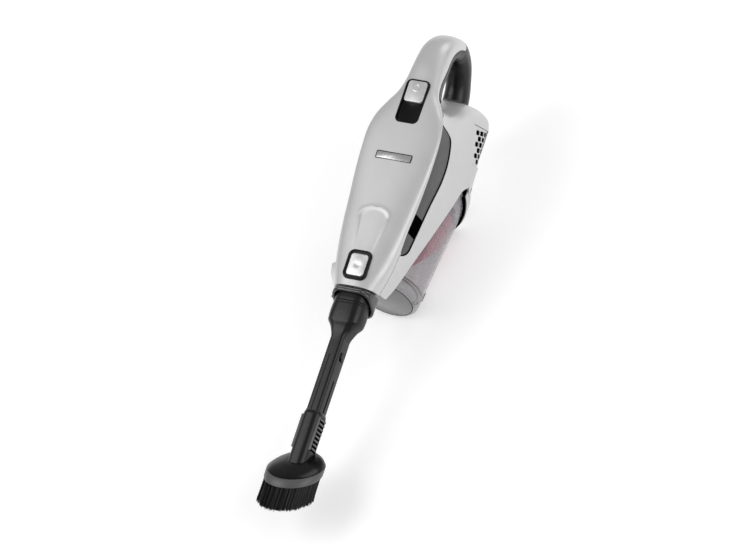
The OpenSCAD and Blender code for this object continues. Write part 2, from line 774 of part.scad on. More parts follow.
module bristles() {
    color([0.06, 0.06, 0.06]) stand() difference() {
        skin(reversed([
            slant_ring(0.1, brush_r - 2, (brush_r - 2) * disc_squash, disc_z),
            slant_ring(bristle_length, brush_r - 1, (brush_r - 1) * disc_squash, disc_z)
        ]));
        tube_hole(1, 100, 250);
    }
}

top_cover();
left_side_shell();
right_side_shell();
grip_insert();
left_side_trim();
right_side_trim();
left_trim_gasket();
right_trim_gasket();
left_trim_clip();
right_trim_clip();
switch_bezel();
release_bezel();
badge_plate();
nozzle_collar();
collar_hinge_block();
inlet_duct();
inlet_seal();
spine_plate();
rubber_feet();
base_screws();
bin_gasket();
motor_bulkhead();
motor_can();
motor_mount();
exhaust_filter();
left_vent_grille();
right_vent_grille();
battery_cells();
battery_holder();
control_board();
switch_body();
charge_socket();
power_switch();
release_button();
impeller();
dust_bin();
filter_frame();
filter_cone();
bin_rear_ring();
inlet_flap();
bin_lid();
lid_ring();
lid_pin();
lid_latch();
bin_latch();
crevice_tool();
brush_lock();
brush_sleeve();
brush_dome();
brush_band();
bristles();
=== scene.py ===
from math import copysign, cos, exp, hypot, pi, radians, sin, sqrt

import bmesh
import bpy
import numpy as np
from mathutils import Matrix, Vector


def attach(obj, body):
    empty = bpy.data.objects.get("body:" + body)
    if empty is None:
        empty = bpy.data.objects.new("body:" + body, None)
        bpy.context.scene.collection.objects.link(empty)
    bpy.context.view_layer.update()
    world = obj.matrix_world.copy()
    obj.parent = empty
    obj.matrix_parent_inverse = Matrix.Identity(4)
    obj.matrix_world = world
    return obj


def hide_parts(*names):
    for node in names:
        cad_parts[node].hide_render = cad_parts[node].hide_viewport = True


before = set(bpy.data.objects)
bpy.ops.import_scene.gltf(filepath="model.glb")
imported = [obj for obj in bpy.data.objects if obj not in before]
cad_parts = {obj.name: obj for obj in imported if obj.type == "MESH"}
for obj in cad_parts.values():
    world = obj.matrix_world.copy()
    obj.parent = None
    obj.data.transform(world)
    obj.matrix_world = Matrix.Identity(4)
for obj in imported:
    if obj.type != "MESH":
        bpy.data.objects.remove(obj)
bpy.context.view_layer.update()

MM = 0.001
rng = np.random.default_rng(7)

# -------------------- frames
# Tool frame: x forward along the tool axis, y to the left, z up, in millimetres.
TILT = radians(12.5)
BIN_R = 40.7
ORIGIN_X = 88.668
ORIGIN_Z = 52.83 + BIN_R
BIN_SEAM_X = ORIGIN_X - 115.2


def from_tool(points):
    p = np.asarray(points, float)
    c, s = cos(TILT), sin(TILT)
    x = ORIGIN_X + p[..., 0] * c + p[..., 2] * s
    z = ORIGIN_Z - p[..., 0] * s + p[..., 2] * c
    return np.stack([x, p[..., 1], z], axis=-1) * MM


def from_bin(points):
    """Bin frame: x = 0 at the lid's seam, z = 0 on the bin's axis."""
    p = np.asarray(points, float)
    return (p + np.array([BIN_SEAM_X, 0, BIN_R])) * MM


# -------------------- curves
def clamp(t):
    return max(0.0, min(1.0, t))


def mix(a, b, t):
    return a + (b - a) * t


def ease(t):
    return t * t * (3 - 2 * t)


def power(v, p):
    return copysign(abs(v) ** p, v)


def hermite(a, b, m, n, t):
    return (a * (1 + t * t * (2 * t - 3)) + m * t * (1 - t) ** 2
            + b * t * t * (3 - 2 * t) + n * t * t * (t - 1))


def segment(x, keys):
    """Index of the last key before x, with x rising from key to key."""
    i = 0
    while i < len(keys) - 2 and x > keys[i + 1][0]:
        i += 1
    return i


def curve(x, keys):
    """Smooth value at x through [x, value] pairs with x rising."""
    i = segment(x, keys)

    def slope(k):
        a, b = keys[max(k - 1, 0)], keys[min(k + 1, len(keys) - 1)]
        return (b[1] - a[1]) / (b[0] - a[0])

    h = keys[i + 1][0] - keys[i][0]
    t = clamp((x - keys[i][0]) / h)
    return hermite(keys[i][1], keys[i + 1][1], slope(i) * h, slope(i + 1) * h, t)


def smooth_rows(rows, steps):
    rows = np.asarray(rows, float)
    last = len(rows) - 1

    def slope(i):
        a, b = max(i - 1, 0), min(i + 1, last)
        return (rows[b] - rows[a]) / (b - a)

    out = []
    for i in range(last):
        for s in range(steps):
            out.append(hermite(rows[i], rows[i + 1], slope(i), slope(i + 1), s / steps))
    out.append(rows[last])
    return out


# -------------------- the body's shape
WALL = 2.4
GAP = 0.3
SEAM = 1.0
CREST = 19.0
ARCH_POWER = 2.5
# x and z of the centre, turn, half-width, parting edge, crest, loop side
COVER = [
    [-64, 0, 0, 28.6, -2.6, CREST - 0.8, 15], [-90, 0, 0, 36.2, -0.5, CREST, 15],
    [-116, 0, 0, 40.5, 2.5, CREST, 15], [-145, 0, 0, 43.2, 6, CREST, 15],
    [-175, 0, 0, 46, 6.5, CREST, 15], [-205, 0, 0, 48.4, 8.5, CREST, 15],
    [-235, 0, 0, 49.6, 10.5, CREST, 15], [-262, 0, 0, 49, 12, CREST, 15],
    [-283, 0, 0, 44.4, 11, CREST - 0.2, 18], [-300, 0, 0, 36, 9, CREST - 0.5, 20],
    [-315, 0, 0, 27, 8, CREST - 0.8, 22], [-332, -1, 0, 23, 6.5, 18.5, 21],
    [-352, -2.5, 8, 22, 3, 19, 19], [-372, -7.5, 30, 21, 3, 18.8, 17],
    [-384.5, -19, 58, 20.5, 3, 18, 15], [-389.5, -33, 80, 19.5, 3.5, 17, 14],
]
LEG = [
    [-390, -36, 84, 19, 3, 16.6, 14], [-389, -50, 100, 17, 0, 15.5, 13.5],
    [-381, -64, 128, 15.5, 0, 15, 13.5], [-366, -75, 150, 15, 0, 15, 13.5],
    [-354, -81, 165, 15.5, 0, 15, 14], [-343.5, -83.5, 177, 16, 0, 15, 14.5],
]
HANDLE_START = 10
ROW_STEPS, ARCH_STEPS = 14, 96
LOW_WIDTH = [[-400, 46.5], [-230, 46.5], [-200, 45], [-134, 40], [-99, 36], [-66, 32]]
REAR_FACE = [
    [-150, -331], [-120, -338], [-95, -341], [-75, -340], [-55, -334], [-30, -319], [-10, -312],
]
CORNER_LENGTH, CORNER_POWER, HOUSING_HALF = 23, 3.6, 46.5
BELLY_FRONT, BELLY_RISE, BELLY_START = -142, 0.17, -207
REAR_POLE = -300
WING_EDGE = [
    [-246, -98], [-236, -86], [-210, -75], [-185, -65], [-158, -54], [-134, -44],
    [-99, -31], [-80, -24.5], [-66, -19], [-60, -16],
]
TRIM_FRONT, TRIM_REAR, TRIM_GASKET = -116, -281.5, 1.4
TRIM_DEPTH = [
    [-281.5, 1], [-278.9, 15], [-275, 25.5], [-262, 33.5], [-245, 38], [-225, 36.8],
    [-208, 32.8], [-190, 28], [-171, 25], [-154, 23.8], [-137, 21.4], [-126, 17.5],
    [-119.5, 9], [-116, 0.8],
]
NECK_START, NECK_LENGTH, NECK_TURN = -275, 37, -294
SIDE_FRONT = -66
WIDTH_KEYS = [[r[0], r[3]] for r in COVER[11::-1]]
EDGE_KEYS = [[r[0], r[4]] for r in COVER[11::-1]]


def station_point(s, y, v):
    turn = radians(s[2])
    return [s[0] - v * sin(turn), y, s[1] + v * cos(turn)]


def arch(s, inset, n):
    out = []
    for i in range(n + 1):
        t = pi * i / n
        y = (s[3] - inset) * power(cos(t), 2 / ARCH_POWER)
        v = s[4] + (s[5] - s[4] - inset) * power(max(sin(t), 0), 2 / ARCH_POWER)
        out.append(station_point(s, y, v))
    return out


def belly_arch(s, drop, n):
    out = []
    for i in range(n + 1):
        t = pi * i / n
        v = s[4] - drop - (s[4] - drop + s[6]) * sin(t)
        out.append(station_point(s, -s[3] * cos(t), v))
    return out


def cover_width(x):
    return curve(x, WIDTH_KEYS)


def cover_edge(x):
    return curve(x, EDGE_KEYS)


def side_width(x, z, inset=0.0):
    edge = cover_edge(x)
    low = curve(x, LOW_WIDTH)
    return mix(cover_width(x), low, ease(clamp((edge - z) / (edge + 42)))) - inset


def corner(a, z, inset):
    rear = curve(z, REAR_FACE) + inset
    length = CORNER_LENGTH - inset
    x = rear + length - length * power(sin(a), 2 / CORNER_POWER)
    half = (HOUSING_HALF - inset) * power(max(cos(a), 0), 2 / CORNER_POWER)
    return [x, half]


def trim_drop(x):
    if x > TRIM_FRONT or x < TRIM_REAR:
        return 0.0
    return curve(x, TRIM_DEPTH) + TRIM_GASKET + 2 * GAP


def belly_z(x):
    return mix(-99, -91, clamp((BELLY_START - x) / 80))


def floor_z(x):
    return BELLY_FRONT + BELLY_RISE * max(0, BELLY_START - x)


def neck(a, inset):
    x = NECK_START - (NECK_LENGTH - inset) * sin(a)
    turn = clamp((NECK_TURN - x) / (NECK_TURN - NECK_START + NECK_LENGTH - inset))
    y = max(0, cover_width(x) - inset) * sqrt(max(0, 1 - turn * turn))
    z = cover_edge(x) - SEAM - trim_drop(x) - 22 * ease(clamp((-288 - x) / 24))
    return [x, y, z]


def upper_point(x, a, v, inset):
    if a == 0:
        z = mix(cover_edge(x) - SEAM - trim_drop(x), belly_z(x), v)
        return [x, side_width(x, z, inset), z]
    top = neck(a, inset)
    z = mix(top[2], belly_z(x), v)
    low = corner(a, z, inset)
    g = ease(clamp((top[2] - z) / (top[2] + 42)))
    return [mix(top[0], low[0], g), mix(top[1], low[1], g), z]


def lower_point(x, a, b, inset):
    p = upper_point(x, a, 1, inset)
    n = mix(2, 2.5, clamp((BELLY_START - x) / 80))
    shrink = power(max(cos(b), 0), 2 / n)
    px = mix(max(x, REAR_POLE), p[0], shrink)
    depth = belly_z(x) - floor_z(px) - inset
    return [px, p[1] * shrink, belly_z(x) - depth * power(sin(b), 2 / n)]


def shell_column(x, a, inset, upper, lower):
    top = [upper_point(x, a, i / upper, inset) for i in range(upper + 1)]
    low = [lower_point(x, a, pi / 2 * i / lower, inset) for i in range(1, lower + 1)]
    return top + low


# -------------------- mesh tools
def skin_faces(count, n, closed=False, caps="fan"):
    """Faces through count rings of n points; caps 'strip' joins the two halves of a ring."""
    faces = []
    for k in range(count if closed else count - 1):
        a, b = k * n, ((k + 1) % count) * n
        for i in range(n):
            j = (i + 1) % n
            faces.append((a + i, a + j, b + j, b + i))
    if closed or caps is None:
        return faces
    top = (count - 1) * n
    if caps == "fan":
        faces.append(tuple(reversed(range(n))))
        faces.append(tuple(range(top, top + n)))
    else:
        for i in range(n // 2 - 1):
            j = n - 1 - i
            faces.append((i, i + 1, j - 1, j))
            faces.append((top + i, top + j, top + j - 1, top + i + 1))
    return faces


def add_object(name, data):
    obj = bpy.data.objects.new(name, data)
    bpy.context.scene.collection.objects.link(obj)
    return obj


def new_object(name, points, faces):
    mesh = bpy.data.meshes.new(name)
    mesh.from_pydata([tuple(p) for p in np.asarray(points)], [], faces)
    mesh.validate()
    bm = bmesh.new()
    bm.from_mesh(mesh)
    bmesh.ops.remove_doubles(bm, verts=bm.verts, dist=1e-6)
    bmesh.ops.recalc_face_normals(bm, faces=bm.faces)
    bm.to_mesh(mesh)
    bm.free()
    return add_object(name, mesh)


def skin(name, rings, place=from_tool, closed=False, caps="fan"):
    rings = np.array(rings, float)
    count, n = rings.shape[:2]
    points = place(rings.reshape(-1, 3))
    return new_object(name, points, skin_faces(count, n, closed, caps))


def evaluated(obj):
    """Applies an object's modifiers to its mesh."""
    graph = bpy.context.evaluated_depsgraph_get()
    mesh = bpy.data.meshes.new_from_object(obj.evaluated_get(graph))
    obj.modifiers.clear()
    old = obj.data
    obj.data = mesh
    mesh.name = obj.name
    bpy.data.meshes.remove(old)
    return obj


def combine(obj, others, operation):
    for other in others:
        modifier = obj.modifiers.new("cut", "BOOLEAN")
        modifier.operation = operation
        modifier.solver = "EXACT"
        modifier.object = other
        evaluated(obj)
        bpy.data.objects.remove(other)
    return obj


def cut(obj, *cutters):
    return combine(obj, cutters, "DIFFERENCE")


def keep(obj, *masks):
    return combine(obj, masks, "INTERSECT")


def bevel(obj, width, segments=3, angle=35):
    modifier = obj.modifiers.new("round", "BEVEL")
    modifier.width = width * MM
    modifier.segments = segments
    modifier.limit_method = "ANGLE"
    modifier.angle_limit = radians(angle)
    modifier.harden_normals = False
    return evaluated(obj)


def join(name, objects):
    """One mesh object made of several."""
    bm = bmesh.new()
    for obj in objects:
        bm.from_mesh(obj.data)
        bpy.data.objects.remove(obj)
    mesh = bpy.data.meshes.new(name)
    bm.to_mesh(mesh)
    bm.free()
    return add_object(name, mesh)


def piece(obj, body, slot, stands_for=(), angle=32, finish=None):
    """Shades a mesh, gives it a finish (its slot's own if none is named) and a body."""
    mesh = obj.data
    mesh.materials.clear()
    mesh.materials.append(FINISH[finish or slot])
    mesh.shade_smooth()
    mesh.set_sharp_from_angle(angle=radians(angle))
    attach(obj, body)
    if stands_for:
        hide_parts(*stands_for)
    return obj


def round_outline(length, width, r, n=10, at=(0, 0)):
    """Outline of a rounded rectangle about the point at, as [x, y] pairs."""
    out = []
    for q in range(4):
        sx = 1 if q in (0, 3) else -1
        sy = 1 if q < 2 else -1
        for i in range(n + 1):
            t = pi / 2 * (q + i / n)
            out.append([at[0] + (sx * (length / 2 - r) + r * cos(t)),
                        at[1] + (sy * (width / 2 - r) + r * sin(t))])
    return out


def circle(x, y, r, n):
    turns = np.linspace(0, 2 * pi, n, endpoint=False)
    return [[x + r * cos(t), y + r * sin(t)] for t in turns]


def pad_ring(x, half_y, half_z, r, z0=0, lean=0, n=8):
    """Rounded rectangle across the tool axis."""
    out = []
    for y, z in round_outline(2 * half_y, 2 * half_z, r, n):
        out.append([x + lean * z, y, z0 + z])
    return out


def stack(name, levels, length, width, r, centre):
    """A rounded plate: each level is [z, inset from the outline]."""
    rings = []
    for z, inset in levels:
        w, h = length - 2 * inset, width - 2 * inset
        corner_r = max(0.15, min(r - inset, w / 2 - 0.01, h / 2 - 0.01))
        rings.append([[x, y, z] for x, y in round_outline(w, h, corner_r, at=centre)])
    return skin(name, rings)


def side_prism(points, half, middle=0.0, place=from_tool):
    """A profile in x and z, 2 * half deep across y, as a cutter or a part's blank."""
    rings = [[[x, y, z] for x, z in points] for y in (middle - half, middle + half)]
    return skin("cutter", rings, place)


def bin_prism(points, half):
    return side_prism(points, half, 0.0, from_bin)


def plan_prism(points, low, high, place=from_tool):
    return skin("cutter", [[[x, y, z] for x, y in points] for z in (low, high)], place)


def revolve(name, profile, n=128):
    """Turns [x, r] pairs round the bin's axis; the profile closes on itself."""
    rings = []
    for i in range(n):
        t = 2 * pi * i / n
        rings.append([[x, r * cos(t), r * sin(t)] for x, r in profile])
    return skin(name, rings, from_bin, closed=True)


# -------------------- materials
FINISH = {}


def set_sockets(node, values):
    for name, value in values.items():
        node.inputs[name].default_value = value


def add_finish(name, color, rough, label=None, metallic=0.0, coat=0.0, grain=0.1,
               grain_size=0.5, mottle=0.1, edge_wear_and_highlight=0.0, opacity=1.0, edge_opacity=None,
               sheen=0.0, specular=0.5):
    """Moulded plastic, rubber or metal: noise in colour and roughness, a fine moulded
    grain in the bump, and lightened edges, partly wear and partly painted edge highlight.
    Sizes are in millimetres."""
    m = bpy.data.materials.new(label or name)
    m.use_nodes = True
    tree = m.node_tree
    nodes, links = tree.nodes, tree.links
    shader = nodes["Principled BSDF"]
    set_sockets(shader, {"Metallic": metallic, "Coat Weight": coat, "Coat Roughness": 0.12,
                         "Sheen Weight": sheen, "Specular IOR Level": specular})
    coords = nodes.new("ShaderNodeTexCoord")

    def noise(size, detail=3.0):
        n = nodes.new("ShaderNodeTexNoise")
        set_sockets(n, {"Scale": 1000.0 / size, "Detail": detail})
        links.new(coords.outputs["Object"], n.inputs["Vector"])
        return n.outputs["Fac"]

    def spread(value, low, high, start=0.3, end=0.7):
        r = nodes.new("ShaderNodeMapRange")
        set_sockets(r, {"From Min": start, "From Max": end, "To Min": low, "To Max": high})
        links.new(value, r.inputs["Value"])
        return r.outputs["Result"]

    def blend(factor, a, b):
        x = nodes.new("ShaderNodeMix")
        x.data_type = "RGBA"
        links.new(factor, x.inputs["Factor"])
        for socket, c in ((x.inputs["A"], a), (x.inputs["B"], b)):
            if hasattr(c, "is_linked"):
                links.new(c, socket)
            else:
                socket.default_value = (*[clamp(v) for v in c], 1)
        return x.outputs["Result"]

    tone = blend(spread(noise(60.0), 0, 1), [c * (1 - mottle) for c in color],
                 [c * (1 + mottle) for c in color])
    roughness = spread(noise(18.0, 5.0), rough * 0.86, rough * 1.14)
    # Convex edges, found by pointiness, are lightened in the base colour: partly wear, partly a
    # painted edge highlight.
    if edge_wear_and_highlight:
        geometry = nodes.new("ShaderNodeNewGeometry")
        edge = spread(geometry.outputs["Pointiness"], 0, edge_wear_and_highlight, 0.52, 0.62)
        tone = blend(edge, tone, [c + 0.18 for c in color])
    links.new(tone, shader.inputs["Base Color"])
    links.new(roughness, shader.inputs["Roughness"])
    bump = nodes.new("ShaderNodeBump")
    set_sockets(bump, {"Strength": grain, "Distance": 0.0002})
    links.new(noise(grain_size, 2.0), bump.inputs["Height"])
    links.new(bump.outputs["Normal"], shader.inputs["Normal"])
    if opacity < 1:
        facing = nodes.new("ShaderNodeLayerWeight")
        set_sockets(facing, {"Blend": 0.35})
        rim = opacity if edge_opacity is None else edge_opacity
        links.new(spread(facing.outputs["Facing"], opacity, rim, 0.0, 1.0),
                  shader.inputs["Alpha"])
        m.surface_render_method = "BLENDED"
    FINISH[name] = m


add_finish("silver_shell", (0.60, 0.60, 0.605), 0.40, label="satin_silver", metallic=0.35,
           coat=0.15, grain=0.05, grain_size=0.25, mottle=0.02, edge_wear_and_highlight=0.2)
add_finish("silver_button", (0.62, 0.62, 0.62), 0.27, label="bright_silver", metallic=0.5,
           coat=0.3, grain=0.05, grain_size=0.3, mottle=0.02, edge_wear_and_highlight=0.5)
add_finish("soft_grip", (0.004, 0.004, 0.0045), 0.32, coat=0.06, grain=0.12, mottle=0.12,
           specular=0.35)
add_finish("smoke_trim", (0.042, 0.042, 0.045), 0.3, coat=0.06, grain=0.03, grain_size=0.4,
           mottle=0.08, specular=0.32)
add_finish("black_gloss", (0.003, 0.003, 0.003), 0.22, coat=0.1, grain=0.04, specular=0.2)
add_finish("black_rubber", (0.003, 0.003, 0.003), 0.5, grain=0.2, grain_size=0.6, mottle=0.15,
           specular=0.15)
add_finish("charcoal", (0.0045, 0.0045, 0.005), 0.30, grain=0.12, grain_size=0.35, edge_wear_and_highlight=0.01,
           specular=0.35)
add_finish("collar", (0.03, 0.03, 0.031), 0.26, label="collar_grey", coat=0.5, grain=0.08,
           grain_size=0.35, mottle=0.08, edge_wear_and_highlight=0.05)
# Painted shade: a darker copy of the lid's smoke plastic for its flat face, which turns from the
# light; its higher opacity is the face's own.
add_finish("shaded_lid_face", (0.27, 0.27, 0.275), 0.3, coat=0.3, grain=0.05, grain_size=0.8,
           mottle=0.05, opacity=0.8, edge_opacity=0.9)
# A black that reflects nothing: for black parts, and for the painted shade behind the vent slots
# and under the brush's ribs.
add_finish("deep_black", (0.0015, 0.0015, 0.0015), 0.8, mottle=0.2, specular=0.0)
add_finish("inner_plastic", (0.035, 0.035, 0.037), 0.5, grain=0.2)
add_finish("badge", (0.50, 0.50, 0.50), 0.28, label="blank_badge", metallic=0.7, coat=0.3,
           grain_size=0.2, mottle=0.05, edge_wear_and_highlight=0.3)
add_finish("bin_clear", (0.42, 0.41, 0.43), 0.12, label="clear_smoke", coat=0.5, grain=0.02,
           grain_size=2.0, mottle=0.03, opacity=0.19, edge_opacity=0.75)
add_finish("lid_clear", (0.36, 0.36, 0.37), 0.16, label="lid_smoke", coat=0.4, grain=0.03,
           grain_size=0.8, mottle=0.05, opacity=0.3, edge_opacity=0.8)
add_finish("magenta_mesh", (0.52, 0.05, 0.13), 0.7, label="filter_mesh", grain=0.8, mottle=0.15,
           sheen=0.3)
add_finish("filter_skirt", (0.42, 0.34, 0.42), 0.6, grain=0.5, grain_size=0.6, sheen=0.2)
add_finish("dark_red_seal", (0.20, 0.015, 0.04), 0.45, grain=0.2, grain_size=0.6)
add_finish("steel", (0.55, 0.55, 0.56), 0.28, metallic=1.0, grain=0.15, grain_size=0.3,
           mottle=0.05, edge_wear_and_highlight=0.3)
add_finish("motor_metal", (0.42, 0.42, 0.44), 0.35, metallic=0.9, grain=0.2, grain_size=0.6,
           mottle=0.05, edge_wear_and_highlight=0.2)
add_finish("cell_wrap", (0.06, 0.20, 0.42), 0.35, coat=0.3, grain_size=1.5, mottle=0.08)
add_finish("board", (0.015, 0.13, 0.06), 0.4, coat=0.3, grain=0.4, grain_size=1.2, mottle=0.2)
add_finish("white_foam", (0.75, 0.75, 0.72), 0.85, grain=1.0, grain_size=1.0, mottle=0.08,
           sheen=0.2)
add_finish("bristle", (0.003, 0.003, 0.003), 0.4, mottle=0.4, specular=0.22)
add_finish("band_grey", (0.085, 0.085, 0.088), 0.4, grain=0.2, mottle=0.06, edge_wear_and_highlight=0.05)

KEPT_NODES = {
    "inner_plastic": ["inlet_duct", "spine_plate", "motor_bulkhead", "filter_frame",
                      "battery_holder", "inlet_flap", "switch_body", "motor_mount",
                      "impeller"],
    "black_rubber": ["inlet_seal", "rubber_feet", "bin_rear_ring"],
    "black_gloss": ["charge_socket"],
    "motor_metal": ["motor_can"],
    "white_foam": ["exhaust_filter"],
    "cell_wrap": ["battery_cells"],
    "board": ["control_board"],
    "steel": ["base_screws", "lid_pin"],
}
for finish_name, node_names in KEPT_NODES.items():
    for node_name in node_names:
        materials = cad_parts[node_name].data.materials
        materials.clear()
        materials.append(FINISH[finish_name])


# -------------------- top cover
SWITCH_CENTRE, SWITCH_LENGTH, SWITCH_WIDTH = -302, 56, 31
SLIDER_X = -314.8
RELEASE_CENTRE, RELEASE_LENGTH, RELEASE_WIDTH = -90, 37, 31
BADGE_X, BADGE_LENGTH, BADGE_WIDTH = -230, 10, 48
TONGUE_HEAD, TONGUE_RISE, TONGUE_HALF, TONGUE_FOOT = -154.0, 10.5, 19.5, 13.5


def tongue_height(x, y):
    """The arch on the crest: a ridge round a shallow tongue that runs to the release."""
    reach = max(0.0, x - TONGUE_HEAD)
    half = mix(TONGUE_HALF, TONGUE_FOOT, clamp(reach / 48))
    if reach > 0:
        inward = half - abs(y)
    else:
        inward = (1 - hypot((x - TONGUE_HEAD) / TONGUE_RISE, y / half)) * TONGUE_RISE
    ridge = 0.5 * exp(-(inward / 1.7) ** 2) * ease(clamp(1.15 - reach / 30))
    hollow = -0.45 * ease(clamp(inward / 2.5)) * ease(clamp(1.2 - reach / 60))
    return ridge + hollow


def cover_ring(s, inset, n):
    """A section of the cover; the outer one carries the arch on its crest."""
    ring = arch(s, inset, n)
    if inset > 0 or s[0] < -260:
        return ring
    turned = []
    for p in ring:
        flat = clamp((p[2] - 9) / 5)
        turned.append([p[0], p[1], p[2] + flat * tongue_height(p[0], p[1])])
    return turned


def build_cover():
    rings = []
    for s in smooth_rows(COVER, ROW_STEPS):
        rings.append(cover_ring(s, 0, ARCH_STEPS) + arch(s, WALL, ARCH_STEPS)[::-1])
    cover = skin("silver_cover", rings, caps="strip")
    slot_hole = round_outline(SWITCH_LENGTH + 2 * GAP, SWITCH_WIDTH + 2 * GAP, 7.3,
                              at=(SWITCH_CENTRE, 0))
    release_hole = round_outline(RELEASE_LENGTH + 2 * GAP, RELEASE_WIDTH + 2 * GAP, 8.3,
                                 at=(RELEASE_CENTRE, 0))
    cut(cover, plan_prism(slot_hole, 0, 60), plan_prism(release_hole, 0, 60))
    piece(cover, "body", "silver_shell", ["top_cover"], angle=28)


# -------------------- side shells
VENT_WINDOW = [[-314, -61], [-273, -86], [-276, -121.6], [-322, -108.6]]
NOSE_LUG = [[-96, -35], [-92, -43], [-80, -40.5], [-66, -32.5], [-64, -29], [-80, -32]]
SIDE_Y = 42
SCREW_X, SCREW_Y, SCREW_HOLE_R = (-262, -305), 20, 3.4
SOCKET_X, SOCKET_HOLE_R = -284, 5.8
LATCH_WINDOW = [[-250.5, -121], [-242, -121], [-242, -107], [-250.5, -107]]


def soft_corners(points, r, n=5):
    """Rounds the corners of a polygon."""
    out = []
    count = len(points)
    for i in range(count):
        p = Vector(points[i])
        a = (Vector(points[i - 1]) - p).normalized()
        b = (Vector(points[(i + 1) % count]) - p).normalized()
        for k in range(n + 1):
            t = k / n
            edge = p + a * r * (1 - t) ** 2 + b * r * t ** 2
            out.append([edge.x, edge.y])
    return out


def shell_rings(outer, inner, upper=20, lower=22):
    along, around = 110, 40
    stations = [[mix(SIDE_FRONT, NECK_START, i / along), 0] for i in range(along + 1)]
    stations += [[NECK_START - 1, radians(90 * i / around)]
                 for i in range(1, around + 1)]
    rings = []
    for x, a in stations:
        ring = shell_column(x, a, inner, upper, lower)
        ring += shell_column(x, a, outer, upper, lower)[::-1]
        for p in ring:
            p[1] = max(p[1], 0.02)
        rings.append(ring)
    return rings


def side_skin(name, side, rings):
    """A wall on the left (side 1) or the right (side -1), closed along its thin edges."""
    if side < 0:
        rings = [[[x, -y, z] for x, y, z in ring] for ring in rings]
    return skin(name, rings, caps="strip")


def wing_cutter():
    """Everything under the wing, in front of the housing."""
    lower_edge = [[x, curve(x, WING_EDGE)] for x in np.linspace(-244, -60, 60)]
    rest = [[-40, -16], [-40, -170], [-188.2, -170], [-246.2, -98]]
    return side_prism(lower_edge + rest, 60)


def build_side(side, label):
    shell = side_skin(label + "_shell", side, shell_rings(0, WALL))
    holes = [wing_cutter(),
             side_prism(soft_corners(VENT_WINDOW, 3), 30, SIDE_Y * side),
             side_prism(soft_corners(LATCH_WINDOW, 1.5), 20, 45 * side)]
    for x in SCREW_X:
        holes.append(plan_prism(circle(x, SCREW_Y * side, SCREW_HOLE_R, 32), -150, -110))
    holes.append(plan_prism(circle(SOCKET_X, 0, SOCKET_HOLE_R, 40), -150, -110))
    cut(shell, *holes)
    if side < 0:
        lug = plan_prism(soft_corners(NOSE_LUG, 1.8), -12, 1)
        combine(shell, [bevel(lug, 1.2, 3, 50)], "UNION")
    piece(shell, "body", "silver_shell", [label + "_side_shell"], angle=28)
    build_vent(side, label)


VENT_FIRST = Vector((-309.4, -78.5))
VENT_STEP = Vector((6.2, -3.2))
VENT_ACROSS = Vector((-2.9, -10.5))
VENT_ROWS, VENT_COLUMNS = 6, 3
VENT_HOLE = (5.9, 9.2)
VENT_GRILLE = [[-313.7, -61.6], [-273.3, -86.4], [-276.2, -121.2], [-321.7, -108.2]]
VENT_FRAME = [[-316, -60.2], [-272.2, -87.4], [-275.2, -123.6], [-324, -109.6]]


def build_vent(side, label):
    """The recessed grille: staggered rounded slots behind a window."""
    grille = side_skin(label + "_grille", side, shell_rings(1.3, 2.3, 16, 16))
    window = soft_corners(VENT_GRILLE, 3)
    keep(grille, side_prism(window, 29, SIDE_Y * side))
    lip = side_skin(label + "_vent_lip", side, shell_rings(-0.35, 1.2, 16, 16))
    keep(lip, side_prism(soft_corners(VENT_FRAME, 4), 30, 43 * side))
    cut(lip, side_prism(soft_corners(VENT_WINDOW, 3), 40, SIDE_Y * side))
    piece(lip, "body", "silver_shell")
    slots = []
    along = VENT_STEP.normalized()
    across = VENT_ACROSS.normalized()
    for r in range(VENT_ROWS):
        for c in range(VENT_COLUMNS - r % 2):
            centre = VENT_FIRST + VENT_STEP * r + VENT_ACROSS * (c + 0.55 * (r % 2))
            outline = []
            for u, v in round_outline(*VENT_HOLE, 1.7, 4):
                p = centre + along * u + across * v
                outline.append([p.x, p.y])
            slots.append(side_prism(outline, 20, SIDE_Y * side))
    cut(grille, join("cutter", slots))
    # Painted shade: a black sheet that reflects nothing, just behind the slots, stands for the
    # shaded inside of the housing.
    dark = side_skin(label + "_vent_painted_shade", side, shell_rings(2.6, 3.0, 16, 16))
    keep(dark, side_prism(window, 29, SIDE_Y * side))
    piece(dark, "body", "black_rubber", finish="deep_black")
    piece(grille, "body", "silver_shell", [label + "_vent_grille"])


# -------------------- side trims
def side_strip(name, side, span, low, high, outer, inner, count=150, rows=12):
    """Strip of the side skin; low and high give its lower and upper edge at x."""
    rings = []
    for k in range(count + 1):
        x = mix(*span, k / count)
        top, base = high(x), low(x)
        heights = [mix(top, base, i / rows) for i in range(rows + 1)]
        ring = [[x, side_width(x, z, inner), z] for z in heights]
        ring += [[x, side_width(x, z, outer), z] for z in reversed(heights)]
        rings.append(ring)
    return side_skin(name, side, rings)


def trim_top(x):
    return cover_edge(x) - GAP


def trim_base(x):
    return cover_edge(x) - curve(x, TRIM_DEPTH)


# front and rear, highest z, height over the trim's lower edge, inset of the outer face
TRIM_CLIPS = [[-144, -169, 4.6, 0.9, -0.1], [-150, -157, 1.5, 4.5, -0.9]]
TRIM_SPAN = (TRIM_FRONT - 0.1, TRIM_REAR + 0.1)


